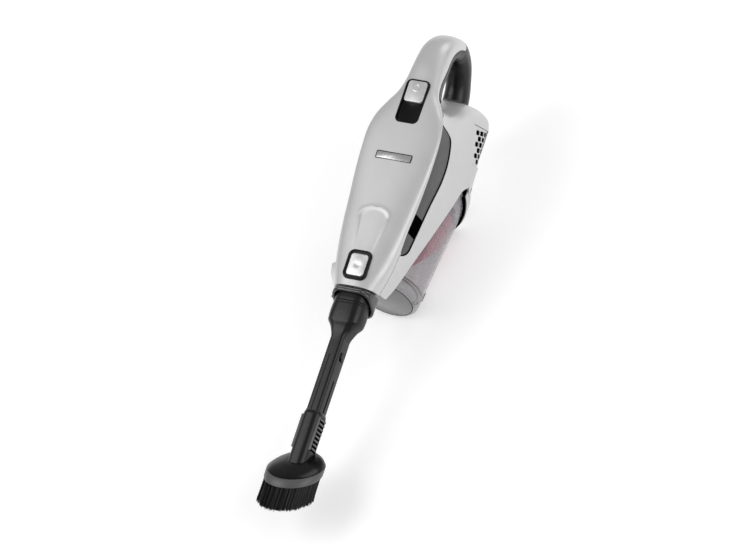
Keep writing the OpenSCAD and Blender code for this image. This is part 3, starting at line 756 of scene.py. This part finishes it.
def build_trim(side, label):
    panel = side_strip(label + "_trim", side, TRIM_SPAN, trim_base, trim_top, 0.35, 2.0)
    piece(panel, "body", "smoke_trim", [label + "_side_trim"])

    def border_base(x):
        return trim_base(x) - TRIM_GASKET

    def border_top(x):
        return min(trim_base(x) + 0.6, trim_top(x))

    border = side_strip(label + "_trim_border", side, TRIM_SPAN, border_base, border_top,
                        -0.15, 2.0, rows=4)
    piece(border, "body", "black_rubber", [label + "_trim_gasket"], finish="deep_black")
    round_trim_nose(side, label)
    blocks = []
    for front, rear, high, low, proud in TRIM_CLIPS:
        def clip_top(x, z=high):
            return min(z, trim_top(x) - 0.4)

        def clip_base(x, shift=low):
            return trim_base(x) + shift

        block = side_strip("clip_block", side, (front, rear), clip_base, clip_top, proud, 1.9,
                           30, 8)
        blocks.append(bevel(block, 0.6, 3, 50))
    clip = join(label + "_clip", blocks)
    piece(clip, "body", "black_gloss", [label + "_trim_clip"], finish="deep_black")


def round_trim_nose(side, label):
    """Rounds the trim's upper front corner: a dark line under a sliver of the shell."""
    nose, drop = 8.0, 6.0

    def corner_base(x):
        t = clamp((x - TRIM_FRONT + nose) / nose)
        return trim_top(x) - min(drop * (1 - sqrt(1 - t * t)), curve(x, TRIM_DEPTH) + 0.6)

    def line_base(x):
        return corner_base(x) - 0.9

    span = (TRIM_FRONT + 0.6, TRIM_FRONT - nose + 0.1)
    line = side_strip(label + "_trim_line", side, span, line_base, trim_top, 0.05, 1.5, 24, 4)
    piece(line, "body", "black_rubber", finish="deep_black")
    sliver = side_strip(label + "_trim_corner", side, span, corner_base, trim_top, -0.02, 1.5,
                        24, 4)
    piece(sliver, "body", "silver_shell")


# -------------------- handle grip
def build_grip():
    step = WALL + GAP
    core = smooth_rows(COVER[HANDLE_START:], ROW_STEPS)
    leg = smooth_rows(LEG, ROW_STEPS)
    upper, lower = 56, 48
    rings = [arch(s, step, upper) + belly_arch(s, GAP, lower) for s in core]
    rings += [arch(s, 0.05, upper) + belly_arch(s, 0, lower) for s in leg]
    grip = skin("soft_grip", rings)
    well = side_prism([[-333, 9.8], [-302, 9.8], [-302, 30], [-333, 30]], 17)
    cut(grip, well)
    piece(grip, "body", "soft_grip", ["grip_insert"], angle=35)


# -------------------- controls on the crest
def build_controls():
    bezel = stack("switch_bezel", [[10.5, 0.4], [10.9, 0], [18.2, 0], [18.75, 0.15], [18.95, 0.5],
                                   [18.8, 0.95], [18.2, 1.2], [13.9, 1.2], [13.5, 1.6]],
                  SWITCH_LENGTH, SWITCH_WIDTH, 7, (SWITCH_CENTRE, 0))
    piece(bezel, "body", "black_gloss", ["switch_bezel"], angle=50)

    slider = crowned_plate("power_slider", 27, 25, 4, (SLIDER_X, 0), 13.8, 18.9, 0.9, 0.35,
                           slider_icon)
    piece(slider, "switch", "silver_button", ["power_switch"], angle=50)

    rim = stack("release_bezel", [[14.8, 0.3], [15.1, 0], [19.9, 0], [20.4, 0.2], [20.6, 0.6],
                                  [20.45, 1.15], [20.0, 1.5], [19.9, 1.8], [20.1, 2.1],
                                  [20.0, 2.5], [19.6, 2.9], [19.6, 3.2]],
                RELEASE_LENGTH, RELEASE_WIDTH, 8, (RELEASE_CENTRE, 0))
    cut(rim, plan_prism(round_outline(28.6, 24.0, 4, at=(RELEASE_CENTRE, 0)), 0, 25))
    piece(rim, "body", "black_gloss", ["release_bezel"], angle=50)

    button = crowned_plate("release_button", 27.6, 23, 4, (RELEASE_CENTRE, 0), 17.05, 20.0, 0.8,
                           0.4, release_dimple)
    piece(button, "release", "silver_button", ["release_button"], angle=50)

    build_badge()


def build_badge():
    """A blank name plate that follows the crest: a dark rim round a bright face."""
    def level(inset, height, r):
        outline = round_outline(BADGE_LENGTH - 2 * inset, BADGE_WIDTH - 2 * inset, r, 6)
        return [[BADGE_X + x, y, cover_height(BADGE_X + x, y) - 0.04 + height]
                for x, y in outline]

    rings = []
    for inset, height in ((0.0, 0.05), (0.0, 0.62), (0.25, 0.85), (0.8, 0.85), (1.0, 0.5)):
        rings.append(level(inset, height, 1.4 - min(inset, 1.1)))
    rim = skin("badge_rim", rings + [rings[-1]])
    piece(rim, "body", "badge", angle=50, finish="black_gloss")
    rings = [level(inset, height, 0.5)
             for inset, height in ((1.05, 0.3), (1.05, 0.55), (1.25, 0.66))]
    plate = skin("badge_face", rings)
    piece(plate, "body", "badge", ["badge_plate"], angle=50)


def cover_height(x, y):
    """Height of the cover's crest at a place where its sections stand upright."""
    half, edge, top = cover_width(x), cover_edge(x), CREST
    reach = min(abs(y) / half, 1.0) ** ARCH_POWER
    return edge + (top - edge) * (1 - reach) ** (1 / ARCH_POWER)


def slider_icon(u, v):
    """A faint raised ring a little behind the middle of the slider."""
    distance = abs(hypot(u + 4.6, v) - 4.1)
    return 0.24 * exp(-(distance / 0.7) ** 2)


def release_dimple(u, v):
    return -0.4 * exp(-(((u - 0.5) / 3.2) ** 2 + (v / 4.2) ** 2))


def dense(outline):
    """Adds points along the four straight sides of a rounded rectangle."""
    out = []
    parts = 16
    corner_points = len(outline) // 4
    for i, (x, y) in enumerate(outline):
        out.append([x, y])
        if (i + 1) % corner_points == 0:
            u, v = outline[(i + 1) % len(outline)]
            out += [[mix(x, u, k / parts), mix(y, v, k / parts)] for k in range(1, parts)]
    return out


def crowned_plate(name, length, width, r, centre, low, high, edge, crown, relief):
    """A rounded plate with a rolled edge and a crowned top that carries a relief."""
    def level(z, inset):
        outline = round_outline(length - 2 * inset, width - 2 * inset, r - inset, 12)
        return [[x, y, z] for x, y in dense(outline)]

    rings = [level(low, 0.25), level(low + 0.3, 0.0)]
    for i in range(7):
        t = pi / 2 * i / 6
        rings.append(level(high - edge + edge * sin(t), edge * (1 - cos(t))))
    steps = 56
    for i in range(1, steps):
        share = 1 - i / steps
        ring = []
        for x, y, z in level(high, edge):
            u, v = x * share, y * share
            swell = (1 - (u / (length / 2 - edge)) ** 2) * (1 - (v / (width / 2 - edge)) ** 2)
            lift = relief(u, v) * ease(clamp((1 - share) * 6))
            ring.append([u, v, z + crown * swell + lift])
        rings.append(ring)
    placed = [[[centre[0] + p[0], centre[1] + p[1], p[2]] for p in ring] for ring in rings]
    return skin(name, placed)


# -------------------- nozzle and crevice tool
TUBE_W, TUBE_H = 9, 11.5
DISC_X, DISC_Z, DISC_SQUASH = 173, 4, 0.707
TUBE_END = DISC_X + 8
BRUSH_R, BRISTLE_LENGTH = 35, 31
LOCK_X = 20


def build_collar():
    # each row: x, half-width, half-height, corner radius, lean of the ring
    lean = -0.5
    outer = [[-47, 25.6, 18.4, 13.6, lean], [-47.6, 26.2, 19.0, 14, lean],
             [-48.6, 26.4, 19.2, 14, lean], [-52, 26.5, 18.9, 14, -0.35],
             [-56, 26.7, 18.3, 14, -0.18], [-60, 26.8, 17.7, 14, 0], [-61, 26.6, 17.5, 14, 0],
             [-61.6, 25.8, 16.8, 13.5, 0], [-63, 23, 14.4, 12, 0], [-100, 22, 14.4, 12, 0]]
    inner = [[-100, 19.7, 13.1, 11, 0], [-61.2, 19.7, 13.1, 11, 0], [-60.2, 22.6, 16.2, 12, 0],
             [-49, 22.8, 16.6, 12, lean], [-47.4, 23.2, 17.0, 12, lean],
             [-47, 24.2, 17.6, 12.6, lean]]
    rings = [pad_ring(x, w, h, r, -0.5 if k < 6 else 0, tilt, 12)
             for k, (x, w, h, r, tilt) in enumerate(outer)]
    rings += [pad_ring(x, w, h, r, 0, tilt, 12) for x, w, h, r, tilt in inner]
    collar = skin("nozzle_collar", rings, closed=True)
    piece(collar, "body", "charcoal", ["nozzle_collar"], angle=40, finish="collar")

    hinge = side_prism(soft_corners([[-60, -8], [-51, -8], [-51, 0], [-60, 0]], 1.6, 4), 1.5,
                       -28.8)
    hinge.name = "collar_hinge"
    bevel(hinge, 0.5, 3)
    piece(hinge, "body", "black_gloss", ["collar_hinge_block"])


SOCKET = [
    # x, half-width, half-height, corner radius
    [-92, 18.6, 12.2, 10.5], [-60.5, 19.3, 12.7, 11], [-58, 21.2, 15.2, 13],
    [-50, 22, 16, 14], [-22, 21.6, 15.8, 13], [-14, 15.5, 13.6, 9.5], [-3, 9.6, 12, 5],
    [4, TUBE_W, TUBE_H, 4], [TUBE_END, TUBE_W, TUBE_H, 4],
]
RING_LINES = (-46.5, -43.6)


def socket_row(x):
    """Half-width, half-height and corner radius of the tool at x."""
    keys = SOCKET
    if x <= -50 or x >= 4:
        i = segment(x, keys)
        t = clamp((x - keys[i][0]) / (keys[i + 1][0] - keys[i][0]))
        return [mix(keys[i][c], keys[i + 1][c], t) for c in (1, 2, 3)]
    return [curve(x, [[k[0], k[c]] for k in keys]) for c in (1, 2, 3)]


def build_tool():
    stations = list(np.linspace(-92, -61, 8)) + list(np.linspace(-60.5, -50, 12))
    stations += list(np.linspace(-49.5, -14, 120)) + list(np.linspace(-13.5, 6, 40))
    stations += list(np.linspace(8, TUBE_END - 0.8, 60))
    outer = []
    for x in stations:
        w, h, r = socket_row(x)
        dent = sum(0.45 * exp(-((x - line) / 0.42) ** 2) for line in RING_LINES)
        ring = pad_ring(x, w - dent, h - dent, r, n=10)
        outer.append([tool_relief(p, h) for p in ring])
    outer.append(pad_ring(TUBE_END - 0.25, TUBE_W - 0.12, TUBE_H - 0.12, 3.9, n=10))
    outer.append(pad_ring(TUBE_END, TUBE_W - 0.6, TUBE_H - 0.6, 3.5, n=10))
    bore = []
    for x in [TUBE_END, 150, 60, 4, 0, -3, -8, -14, -22, -36, -50, -58, -60.5, -80, -92]:
        w, h, r = socket_row(x)
        bore.append(pad_ring(x, w - 2.4, h - 2.4, max(1.6, r - 2.4), n=10))
    tool = skin("crevice_tool", outer + bore, closed=True)
    groove_top = plan_prism(round_outline(142, 4.2, 2.0, at=(92, 0)), 10.7, 14)
    groove_side = side_prism(round_outline(112, 3.4, 1.6, at=(106, 0)), 1.2, TUBE_W + 0.4)
    pocket = side_prism(round_outline(11, 9, 1.4, at=(LOCK_X, 0)), 2.0, TUBE_W + 0.4)
    cut(tool, groove_top, groove_side, pocket)
    piece(tool, "tool", "charcoal", ["crevice_tool"], angle=30)

    lock_outline = [[-4.6, 3.6], [2.2, 3.6], [2.2, 1.0], [4.6, 1.0], [4.6, -3.6], [-2.2, -3.6],
                    [-2.2, -1.0], [-4.6, -1.0]]
    shape = soft_corners([[LOCK_X + x, z] for x, z in lock_outline], 0.7, 3)
    lock = side_prism(shape, 0.8, TUBE_W + 0.3)
    lock.name = "brush_lock"
    bevel(lock, 0.3, 2)
    piece(lock, "lock", "black_gloss", ["brush_lock"])


def tool_relief(p, h):
    """A flattened saddle on each shoulder where the socket narrows to the tube."""
    x, y, z = p
    hollow = exp(-((x + 8) / 7) ** 2)
    if abs(z) > 0.72 * h:
        return [x, y, z - copysign(0.6 * hollow, z)]
    return p


# -------------------- brush
SLEEVE_W, SLEEVE_H = 12, 13
SLEEVE_REAR, SLEEVE_FRONT, SLEEVE_SLANT_X = 92, DISC_X - 12, DISC_X - DISC_Z - 21.6
GRIP_X, GRIP_LENGTH = 119, 42


def slant_ring(d, ry, rz, cz, n=96):
    ring = []
    for i in range(n):
        t = 2 * pi * i / n
        z = cz + rz * sin(t)
        ring.append([DISC_X + (z - DISC_Z) + d, ry * cos(t), z])
    return ring


def tube_cutter(margin, x0, x1):
    w, h = 2 * (TUBE_W + margin), 2 * (TUBE_H + margin)
    rings = [[[x, y, z] for y, z in round_outline(w, h, 4)] for x in (x0, x1)]
    return skin("cutter", rings)


def build_brush():
    levels = [[SLEEVE_REAR, 2.2], [92.3, 1.4], [93.5, 0.7], [95, 0.1], [97, 0],
              [SLEEVE_FRONT, 0]]
    rings = [pad_ring(x, SLEEVE_W - s, SLEEVE_H - s, 9 - s, n=10) for x, s in levels]
    rings += [pad_ring(x, TUBE_W + GAP, TUBE_H + GAP, 4, n=10) for x in (SLEEVE_FRONT, SLEEVE_REAR)]
    sleeve = skin("brush_sleeve", rings, closed=True)
    slope = [[SLEEVE_SLANT_X - 60, -60], [SLEEVE_SLANT_X + 60, 60], [260, 60], [260, -60]]
    cut(sleeve, side_prism(slope, 40))
    ribs = []
    for i in range(8):
        outline = round_outline(2.3, 15.5 - 0.3 * i, 1.0, 4, at=(100.5 + 5.2 * i, 0))
        for side in (-1, 1):
            rib = side_prism(outline, 1.1, side * (SLEEVE_W + 0.1))
            ribs.append(bevel(rib, 0.4, 2))
    rail = round_outline(GRIP_LENGTH, 1.1, 0.5, 4, at=(GRIP_X, 8.4))
    for side in (-1, 1):
        ribs.append(side_prism(rail, 1.3, side * (SLEEVE_W - 0.55)))
    piece(sleeve, "brush", "charcoal", ["brush_sleeve"], angle=30)
    piece(join("brush_ribs", ribs), "brush", "charcoal", angle=30, finish="band_grey")
    # Painted shade: thin plates in a black that reflects nothing lie under the ribs and stand for
    # the shade of the recess round them.
    well = round_outline(GRIP_LENGTH, 14.5, 1.5, 4, at=(GRIP_X, 0))
    wells = [side_prism(well, 0.6, side * (SLEEVE_W - 0.25)) for side in (-1, 1)]
    piece(join("rib_wells_painted_shade", wells), "brush", "charcoal", angle=30, finish="deep_black")

    profile = [[-21, 14.6, 14.3, 0.5], [-20.9, 15.4, 14.8, 0.6], [-20.1, 18.6, 16.4, 1.3],
               [-18.6, 22.8, 18.5, 2], [-17, 26.6, 20.6, 2.7], [-15.3, 29.8, 22.4, 3.3],
               [-13.6, 32.0, 23.5, 3.7], [-12.2, 33.3, 24.15, 3.95],
               [-11.4, 33.6, 24.3, DISC_Z], [-11.2, 33.2, 24.0, DISC_Z]]
    dome = skin("brush_dome", [slant_ring(*row) for row in profile])
    cut(dome, tube_cutter(GAP, 100, 200))
    piece(dome, "brush", "black_gloss", ["brush_dome"], angle=35)

    edge = [[-11.1, -0.9], [-10.9, -0.3], [-10.3, 0], [-6.5, 0], [-1.0, 0], [-0.3, -0.25],
            [-0.05, -0.8]]
    band = skin("brush_band", [slant_ring(d, BRUSH_R + s, BRUSH_R * DISC_SQUASH + s, DISC_Z)
                               for d, s in edge])
    cut(band, tube_cutter(GAP, 100, 240))
    piece(band, "brush", "band_grey", ["brush_band"], angle=35)
    build_bristles()


def build_bristles():
    """Tapered hairs in tufts, which lean out a little and end ragged."""
    points, faces = [], []
    tufts, hairs = 520, 8
    reach, golden_angle = BRUSH_R - 2.2, 2.399963
    placed = 0
    attempt = 0
    while placed < tufts:
        radius = reach * sqrt((attempt + 0.5) / (tufts * 1.22))
        angle = attempt * golden_angle
        attempt += 1
        if radius > reach:
            break
        y, z = radius * cos(angle), DISC_Z + radius * DISC_SQUASH * sin(angle)
        if abs(y) < TUBE_W + 1.8 and abs(z) < TUBE_H + 1.8:
            continue
        placed += 1
        for _ in range(hairs):
            dy, dz = rng.normal(0, 0.55, 2)
            length = BRISTLE_LENGTH * (0.90 + 0.095 * rng.random())
            lean = rng.normal(0, 0.35, 2)
            out_y = 0.8 * y / BRUSH_R + lean[0]
            out_z = 0.8 * (z - DISC_Z) / BRUSH_R + lean[1]
            add_hair(points, faces, y + dy, z + dz, length, out_y, out_z)
    hair = new_object("bristles", from_tool(np.array(points)), faces)
    piece(hair, "brush", "bristle", ["bristles"], angle=80)


def add_hair(points, faces, y, z, length, out_y, out_z):
    base = len(points)
    start = DISC_X + (z - DISC_Z) + 0.1
    steps = 3
    for k in range(steps + 1):
        t = k / steps
        r = mix(0.52, 0.3, t)
        bend = t * t
        for i in range(4):
            a = pi / 2 * i
            py = y + out_y * bend + r * cos(a)
            pz = z + out_z * bend + r * sin(a)
            points.append([start + length * t, py, pz])
    for k in range(steps):
        for i in range(4):
            a, b = base + 4 * k + i, base + 4 * k + (i + 1) % 4
            faces.append((a, b, b + 4, a + 4))
    top = base + 4 * steps
    faces.append((top, top + 1, top + 2, top + 3))
    faces.append((base + 3, base + 2, base + 1, base))


# -------------------- dust bin and lid
# In the bin's frame, where x runs backwards from the lid's seam as it falls.
BIN_WALL, BIN_LENGTH, BIN_BELLY, BIN_SLANT = 2.4, 139.5, 113.5, 0.516
LID_DEPTH = 18.5
PORT_X, PORT_R = -35, 11.5
HINGE_Y, HINGE_R, HINGE_HALF, HINGE_EAR, PIN_R = -BIN_R - 2.6, 2.3, 5, 5, 1.2


def joint_x(z):
    return -BIN_BELLY - BIN_SLANT * (z + BIN_R)


def post(x, y, low, high, r, n=48):
    return plan_prism(circle(x, y, r, n), low, high, from_bin)


def build_bin():
    outer = [[-0.3, BIN_R - 0.5], [-0.5, BIN_R - 0.12], [-1.0, BIN_R], [-3.4, BIN_R],
             [-3.8, BIN_R - 0.35], [-4.6, BIN_R - 0.35], [-5.0, BIN_R]]
    outer += [[x, BIN_R] for x in np.linspace(-8, -BIN_LENGTH, 30)]
    inner_r = BIN_R - BIN_WALL
    profile = outer + [[-BIN_LENGTH, inner_r], [-0.3, inner_r]]
    shell = revolve("clear_bin", profile, 160)
    rear_top = (BIN_LENGTH - BIN_BELLY) / BIN_SLANT - BIN_R
    rear = [[-200, -80], [joint_x(-80), -80], [-BIN_LENGTH, rear_top], [-BIN_LENGTH, 80],
            [-200, 80]]
    cut(shell, bin_prism(rear, 80))
    boss = post(PORT_X, 0, BIN_R - 4, BIN_R + 1.5, PORT_R + 3)
    ears = []
    for z in (-HINGE_HALF - HINGE_EAR, HINGE_HALF + GAP):
        top = z + HINGE_EAR - GAP
        ears.append(post(0, HINGE_Y, z, top, HINGE_R, 32))
        web = [[-4, HINGE_Y], [-0.3, HINGE_Y], [-0.3, HINGE_Y + 4], [-4, HINGE_Y + 4]]
        ears.append(plan_prism(web, z, top, from_bin))
    combine(shell, [boss] + ears, "UNION")
    bore_r = BIN_R - BIN_WALL
    drum = revolve("cutter", [[-BIN_LENGTH - 5, 0.01], [-BIN_LENGTH - 5, bore_r],
                              [5, bore_r], [5, 0.01]], 160)
    cut(shell, post(0, HINGE_Y, -20, 20, PIN_R, 24), drum,
        post(PORT_X, 0, BIN_R - 10, BIN_R + 10, PORT_R))
    piece(shell, "bin", "bin_clear", ["dust_bin"], angle=30)


def build_lid():
    face_r = BIN_R - 6
    shoulder = 12
    profile = [[0.35, BIN_R - 4.9], [0.3, BIN_R - 4.5], [0.3, BIN_R - 0.5], [0.5, BIN_R - 0.12],
               [0.9, BIN_R], [5.0, BIN_R], [10.0, BIN_R]]
    for i in range(13):
        t = pi / 2 * i / 12
        profile.append([shoulder + (LID_DEPTH - shoulder) * sin(t),
                        face_r + 6 * cos(t)])
    profile += [[LID_DEPTH, r] for r in (30, 24)]
    profile += [[LID_DEPTH - 0.4, 23.2], [LID_DEPTH - 0.4, 22.2], [LID_DEPTH, 21.4]]
    profile += [[LID_DEPTH, r] for r in (14, 7, 0.02)]
    profile += [[LID_DEPTH - BIN_WALL, r] for r in (0.02, 10, 20, face_r - 2)]
    profile += [[shoulder, BIN_R - 5]]
    lid = revolve("smoke_lid", profile, 160)
    knuckle = post(0, HINGE_Y, -HINGE_HALF, HINGE_HALF, HINGE_R, 32)
    web = [[0.3, HINGE_Y], [4.3, HINGE_Y], [4.3, HINGE_Y + 4], [0.3, HINGE_Y + 4]]
    combine(lid, [knuckle, plan_prism(web, -HINGE_HALF, HINGE_HALF, from_bin)], "UNION")
    cut(lid, post(0, HINGE_Y, -20, 20, PIN_R + 0.05, 24))
    piece(lid, "lid", "lid_clear", ["bin_lid"], angle=30)

    build_lid_rings(face_r)

    latch = crowned_latch("lid_latch", 12, 10, 1.0)
    turn = Matrix.Rotation(radians(-45), 4, "X")
    for v in latch.data.vertices:
        p = turn @ Vector((v.co.x, v.co.y, v.co.z))
        v.co = Vector(from_bin([p.x - 8, p.y, p.z]))
    latch.data.update()
    piece(latch, "lid_catch", "smoke_trim", ["lid_latch"], angle=40)


def build_lid_rings(face_r):
    """The seal inside the lid, its red seam, the flat face and the dark line round it."""
    inner, outer = BIN_R - 7.5, BIN_R - 5.2
    seal = [[0.8, inner + 0.3], [0.8, outer - 0.3], [1.1, outer], [1.5, outer],
            [1.7, outer - 0.2], [1.9, outer], [2.3, outer], [2.6, outer - 0.3],
            [2.6, inner + 0.3], [2.3, inner], [1.1, inner]]
    seam = [[0.35, BIN_R - 2.2], [0.35, BIN_R - 0.3], [0.95, BIN_R - 0.3], [0.95, BIN_R - 2.2]]
    front = LID_DEPTH + 0.02
    face = [[front, 0.02], [front, face_r + 0.1], [front + 0.2, face_r - 0.2],
            [front + 0.2, 0.02]]
    line = [[front - 0.5, face_r + 0.3], [front - 0.1, face_r + 0.9],
            [front + 0.3, face_r + 0.3], [front, face_r - 0.1]]
    rows = [["lid_seal", seal, 128, "dark_red_seal", None, ["lid_ring"]],
            ["lid_seam", seam, 160, "dark_red_seal", None, []],
            # the flat face carries the darker copy of the lid plastic, as painted shade
            ["shaded_lid_face", face, 160, "lid_clear", "shaded_lid_face", []],
            ["lid_outline", line, 160, "lid_clear", "deep_black", []]]
    for name, section, n, slot, finish, nodes in rows:
        piece(revolve(name, section, n), "lid", slot, nodes, angle=40, finish=finish)


def crowned_latch(name, length, width, thick):
    """A small thumb latch with grip lines, lying in x and z over the bin's side."""
    rings = []
    columns = 40
    for i in range(columns + 1):
        x = -length / 2 + length * i / columns
        taper = 1 - 0.12 * abs(2 * i / columns - 1) ** 6
        ridge = 0.25 * cos(2 * pi * x / 2.2) if abs(x) < length * 0.36 else 0
        top = BIN_R + 0.45 + (thick - 0.35) * taper + ridge * 0.6
        half = width / 2 * (0.97 + 0.03 * taper)
        low = BIN_R + 0.42
        rings.append([[x, low, -half], [x, top - 0.4, -half], [x, top, -half + 0.5],
                      [x, top, half - 0.5], [x, top - 0.4, half], [x, low, half]])
    return skin(name, rings, lambda p: np.asarray(p))


CONE_NOSE = 34.5
CONE_KEYS = [[-107.9, 35.9], [-90, 35.0], [-73, 33.6], [-60, 27], [-47, 19.4], [-34, 12]]


def cone_radius(x):
    return curve(x, CONE_KEYS)


def build_filter():
    """A fine mesh cone over long ribs, with a solid cup at its nose."""
    rings = []
    around = 240
    turns = np.linspace(0, 2 * pi, around, endpoint=False)
    for k in range(49):
        t = k / 48
        x = -CONE_NOSE - (107.9 - CONE_NOSE) * t
        r = cone_radius(x)
        pleat = 0.5 + 0.4 * t
        ring = []
        for a in turns:
            depth = r - pleat * (0.5 + 0.5 * cos(40 * a))
            ring.append([x, depth * cos(a), depth * sin(a)])
        rings.append(ring)
    for x, r in ((-107.9, 33.5), (-73, 31.0), (-37.5, 10.0)):
        rings.append([[x, y, z] for y, z in circle(0, 0, r, around)])
    cone = skin("filter_cone", rings, from_bin)
    nose = [[-34.1, 0.02], [-34.1, 10.6], [-34.6, 11.8], [-35.6, 12.6], [-37.4, 13.4],
            [-37.6, 12.4], [-37.6, 0.02]]
    cup = revolve("filter_nose", nose, 96)
    hoops = [cup]
    for x in (-56, -73, -90):
        r = cone_radius(x)
        hoops.append(revolve("hoop", [[x - 0.8, r - 0.9], [x - 0.8, r - 0.1], [x - 0.4, r + 0.15],
                                      [x + 0.4, r + 0.1], [x + 0.8, r - 0.2],
                                      [x + 0.8, r - 0.9]], 128))
    frame_part = join("filter_hoops", hoops)
    piece(cone, "bin", "magenta_mesh", ["filter_cone"], angle=60)
    piece(frame_part, "bin", "dark_red_seal", angle=40)
    skirt_r = BIN_R - BIN_WALL - 0.5
    skirt = revolve("filter_skirt", [[x, skirt_r] for x in np.linspace(-112.3, -136, 12)]
                    + [[-136, skirt_r - 1], [-112.3, skirt_r - 1]], 128)
    slant = [[-200, -80], [joint_x(-80) + 3, -80], [joint_x(80) + 3, 80], [-200, 80]]
    cut(skirt, bin_prism(slant, 80))
    piece(skirt, "bin", "magenta_mesh", angle=40, finish="filter_skirt")


def build_gasket():
    """The seal at the bin's slanted rear, its front lip and the housing's rim round it."""
    low, top = -BIN_R - 5, 5
    box = [[-200, -BIN_R + GAP], [0, -BIN_R + GAP], [0, BIN_R], [-200, BIN_R]]
    # name, slot, finish, inner and outer radius beyond the bin's, front and rear, start, nodes
    rows = [
        ["bin_gasket", "black_rubber", None, -4.6, 2.2, -GAP, 6.2, -170, ["bin_gasket"]],
        ["gasket_lip", "black_rubber", "deep_black", 0.25, 3.2, 4.0, 4.0, -175, []],
        ["housing_rim", "silver_shell", None, 3.2, 4.3, 0.6, 12.0, -175, []],
    ]
    for name, slot, finish, r0, r1, front, rear, start, nodes in rows:
        section = [[start, BIN_R + r0], [start, BIN_R + r1]]
        section += [[x, BIN_R + r1] for x in np.linspace(-160, -95, 12)]
        section += [[-90, BIN_R + r1], [-90, BIN_R + r0]]
        slab = [[joint_x(low) + front, low], [joint_x(top) + front, top],
                [joint_x(top) - rear, top], [joint_x(low) - rear, low]]
        ring = revolve(name, section, 160)
        keep(ring, bin_prism(slab, 60), bin_prism(box, 60))
        piece(ring, "body", slot, nodes, angle=35, finish=finish)


LATCH_OUTLINE = [[-250, -120.5], [-242.5, -120.5], [-242.5, -107.5], [-250, -107.5]]


def build_bin_latch():
    """A small flush thumb latch in the housing's skin behind the bin's seal."""
    outline = soft_corners(LATCH_OUTLINE, 1.2, 5)
    latch = skin("bin_latch_button", shell_rings(-0.5, 1.6, 16, 16), caps="strip")
    keep(latch, side_prism(outline, 20, 40))
    lines = []
    for i in range(4):
        z = -118 + 2.6 * i
        groove = [[-249.1, z], [-243.4, z], [-243.4, z + 0.8], [-249.1, z + 0.8]]
        lines.append(side_prism(groove, 20, 40))
    ridge = skin("cutter", shell_rings(-1.5, 0.1, 16, 16), caps="strip")
    keep(ridge, join("cutter", lines))
    cut(latch, ridge)
    piece(latch, "bin_catch", "smoke_trim", ["bin_latch"], angle=40, finish="silver_button")


# -------------------- studio
WORLD_LIGHT, FLOOR_GLOW = 0.36, 0.31
KEY_WATTS, FLANK_WATTS, REAR_WATTS = 20, 18, 8
CAMERA_DISTANCE = 8.0
PIXELS_PER_METRE, PICTURE_WIDTH, SENSOR = 850, 750, 36.0


def studio_white(color, rough):
    """A matt white that glows a little, so that the floor stays pale."""
    m = bpy.data.materials.new("studio_white")
    m.use_nodes = True
    tree = m.node_tree
    shader = tree.nodes["Principled BSDF"]
    set_sockets(shader, {"Base Color": (*color, 1), "Specular IOR Level": 0.15,
                         "Emission Color": (1, 1, 1, 1), "Emission Strength": FLOOR_GLOW})
    coords = tree.nodes.new("ShaderNodeTexCoord")
    noise = tree.nodes.new("ShaderNodeTexNoise")
    set_sockets(noise, {"Scale": 3.0})
    spread = tree.nodes.new("ShaderNodeMapRange")
    set_sockets(spread, {"To Min": rough - 0.05, "To Max": rough + 0.05})
    tree.links.new(coords.outputs["Object"], noise.inputs["Vector"])
    tree.links.new(noise.outputs["Fac"], spread.inputs["Value"])
    tree.links.new(spread.outputs["Result"], shader.inputs["Roughness"])
    return m


def build_floor():
    half = 6.0
    sheet = new_object("studio_floor", [(-half, -half, 0), (half, -half, 0), (half, half, 0),
                                        (-half, half, 0)], [(0, 1, 2, 3)])
    sheet.data.materials.append(studio_white((0.93, 0.93, 0.93), 0.8))


def area_light(name, place, target, size, watts):
    data = bpy.data.lights.new(name, "AREA")
    data.energy = watts
    data.size = size
    lamp = add_object(name, data)
    lamp.location = place
    lamp.rotation_euler = (Vector(target) - Vector(place)).to_track_quat("-Z", "Y").to_euler()


def build_lights():
    world = bpy.data.worlds.new("studio")
    bpy.context.scene.world = world
    world.use_nodes = True
    set_sockets(world.node_tree.nodes["Background"],
                {"Color": (1, 1, 1, 1), "Strength": WORLD_LIGHT})
    middle = (0.0, 0.0, 0.08)
    area_light("key", (0.6, -1.3, 1.8), middle, 1.5, KEY_WATTS)
    area_light("flank", (0.1, 1.9, 1.3), middle, 1.6, FLANK_WATTS)
    area_light("rear", (-1.7, 0.4, 1.2), middle, 1.2, REAR_WATTS)


def build_camera():
    backward = Vector((0.4365, 0.461, 0.7726)).normalized()
    right = Vector((-0.381, 0.8725, -0.3047))
    right = (right - backward * right.dot(backward)).normalized()
    up = backward.cross(right)
    target = Vector((0.01237, 0.0238, 0.1224))
    data = bpy.data.cameras.new("camera")
    data.sensor_width = SENSOR
    data.lens = PIXELS_PER_METRE * CAMERA_DISTANCE * SENSOR / PICTURE_WIDTH
    data.clip_end = 100
    camera = add_object("camera", data)
    turn = Matrix((right, up, backward)).transposed().to_4x4()
    camera.matrix_world = Matrix.Translation(target + backward * CAMERA_DISTANCE) @ turn
    bpy.context.scene.camera = camera


build_camera()
build_floor()
build_lights()
build_cover()
for side, label in ((1, "left"), (-1, "right")):
    build_side(side, label)
    build_trim(side, label)
build_grip()
build_controls()
build_collar()
build_tool()
build_brush()
build_bin()
build_lid()
build_filter()
build_gasket()
build_bin_latch()

bpy.context.scene.view_settings.view_transform = "Standard"
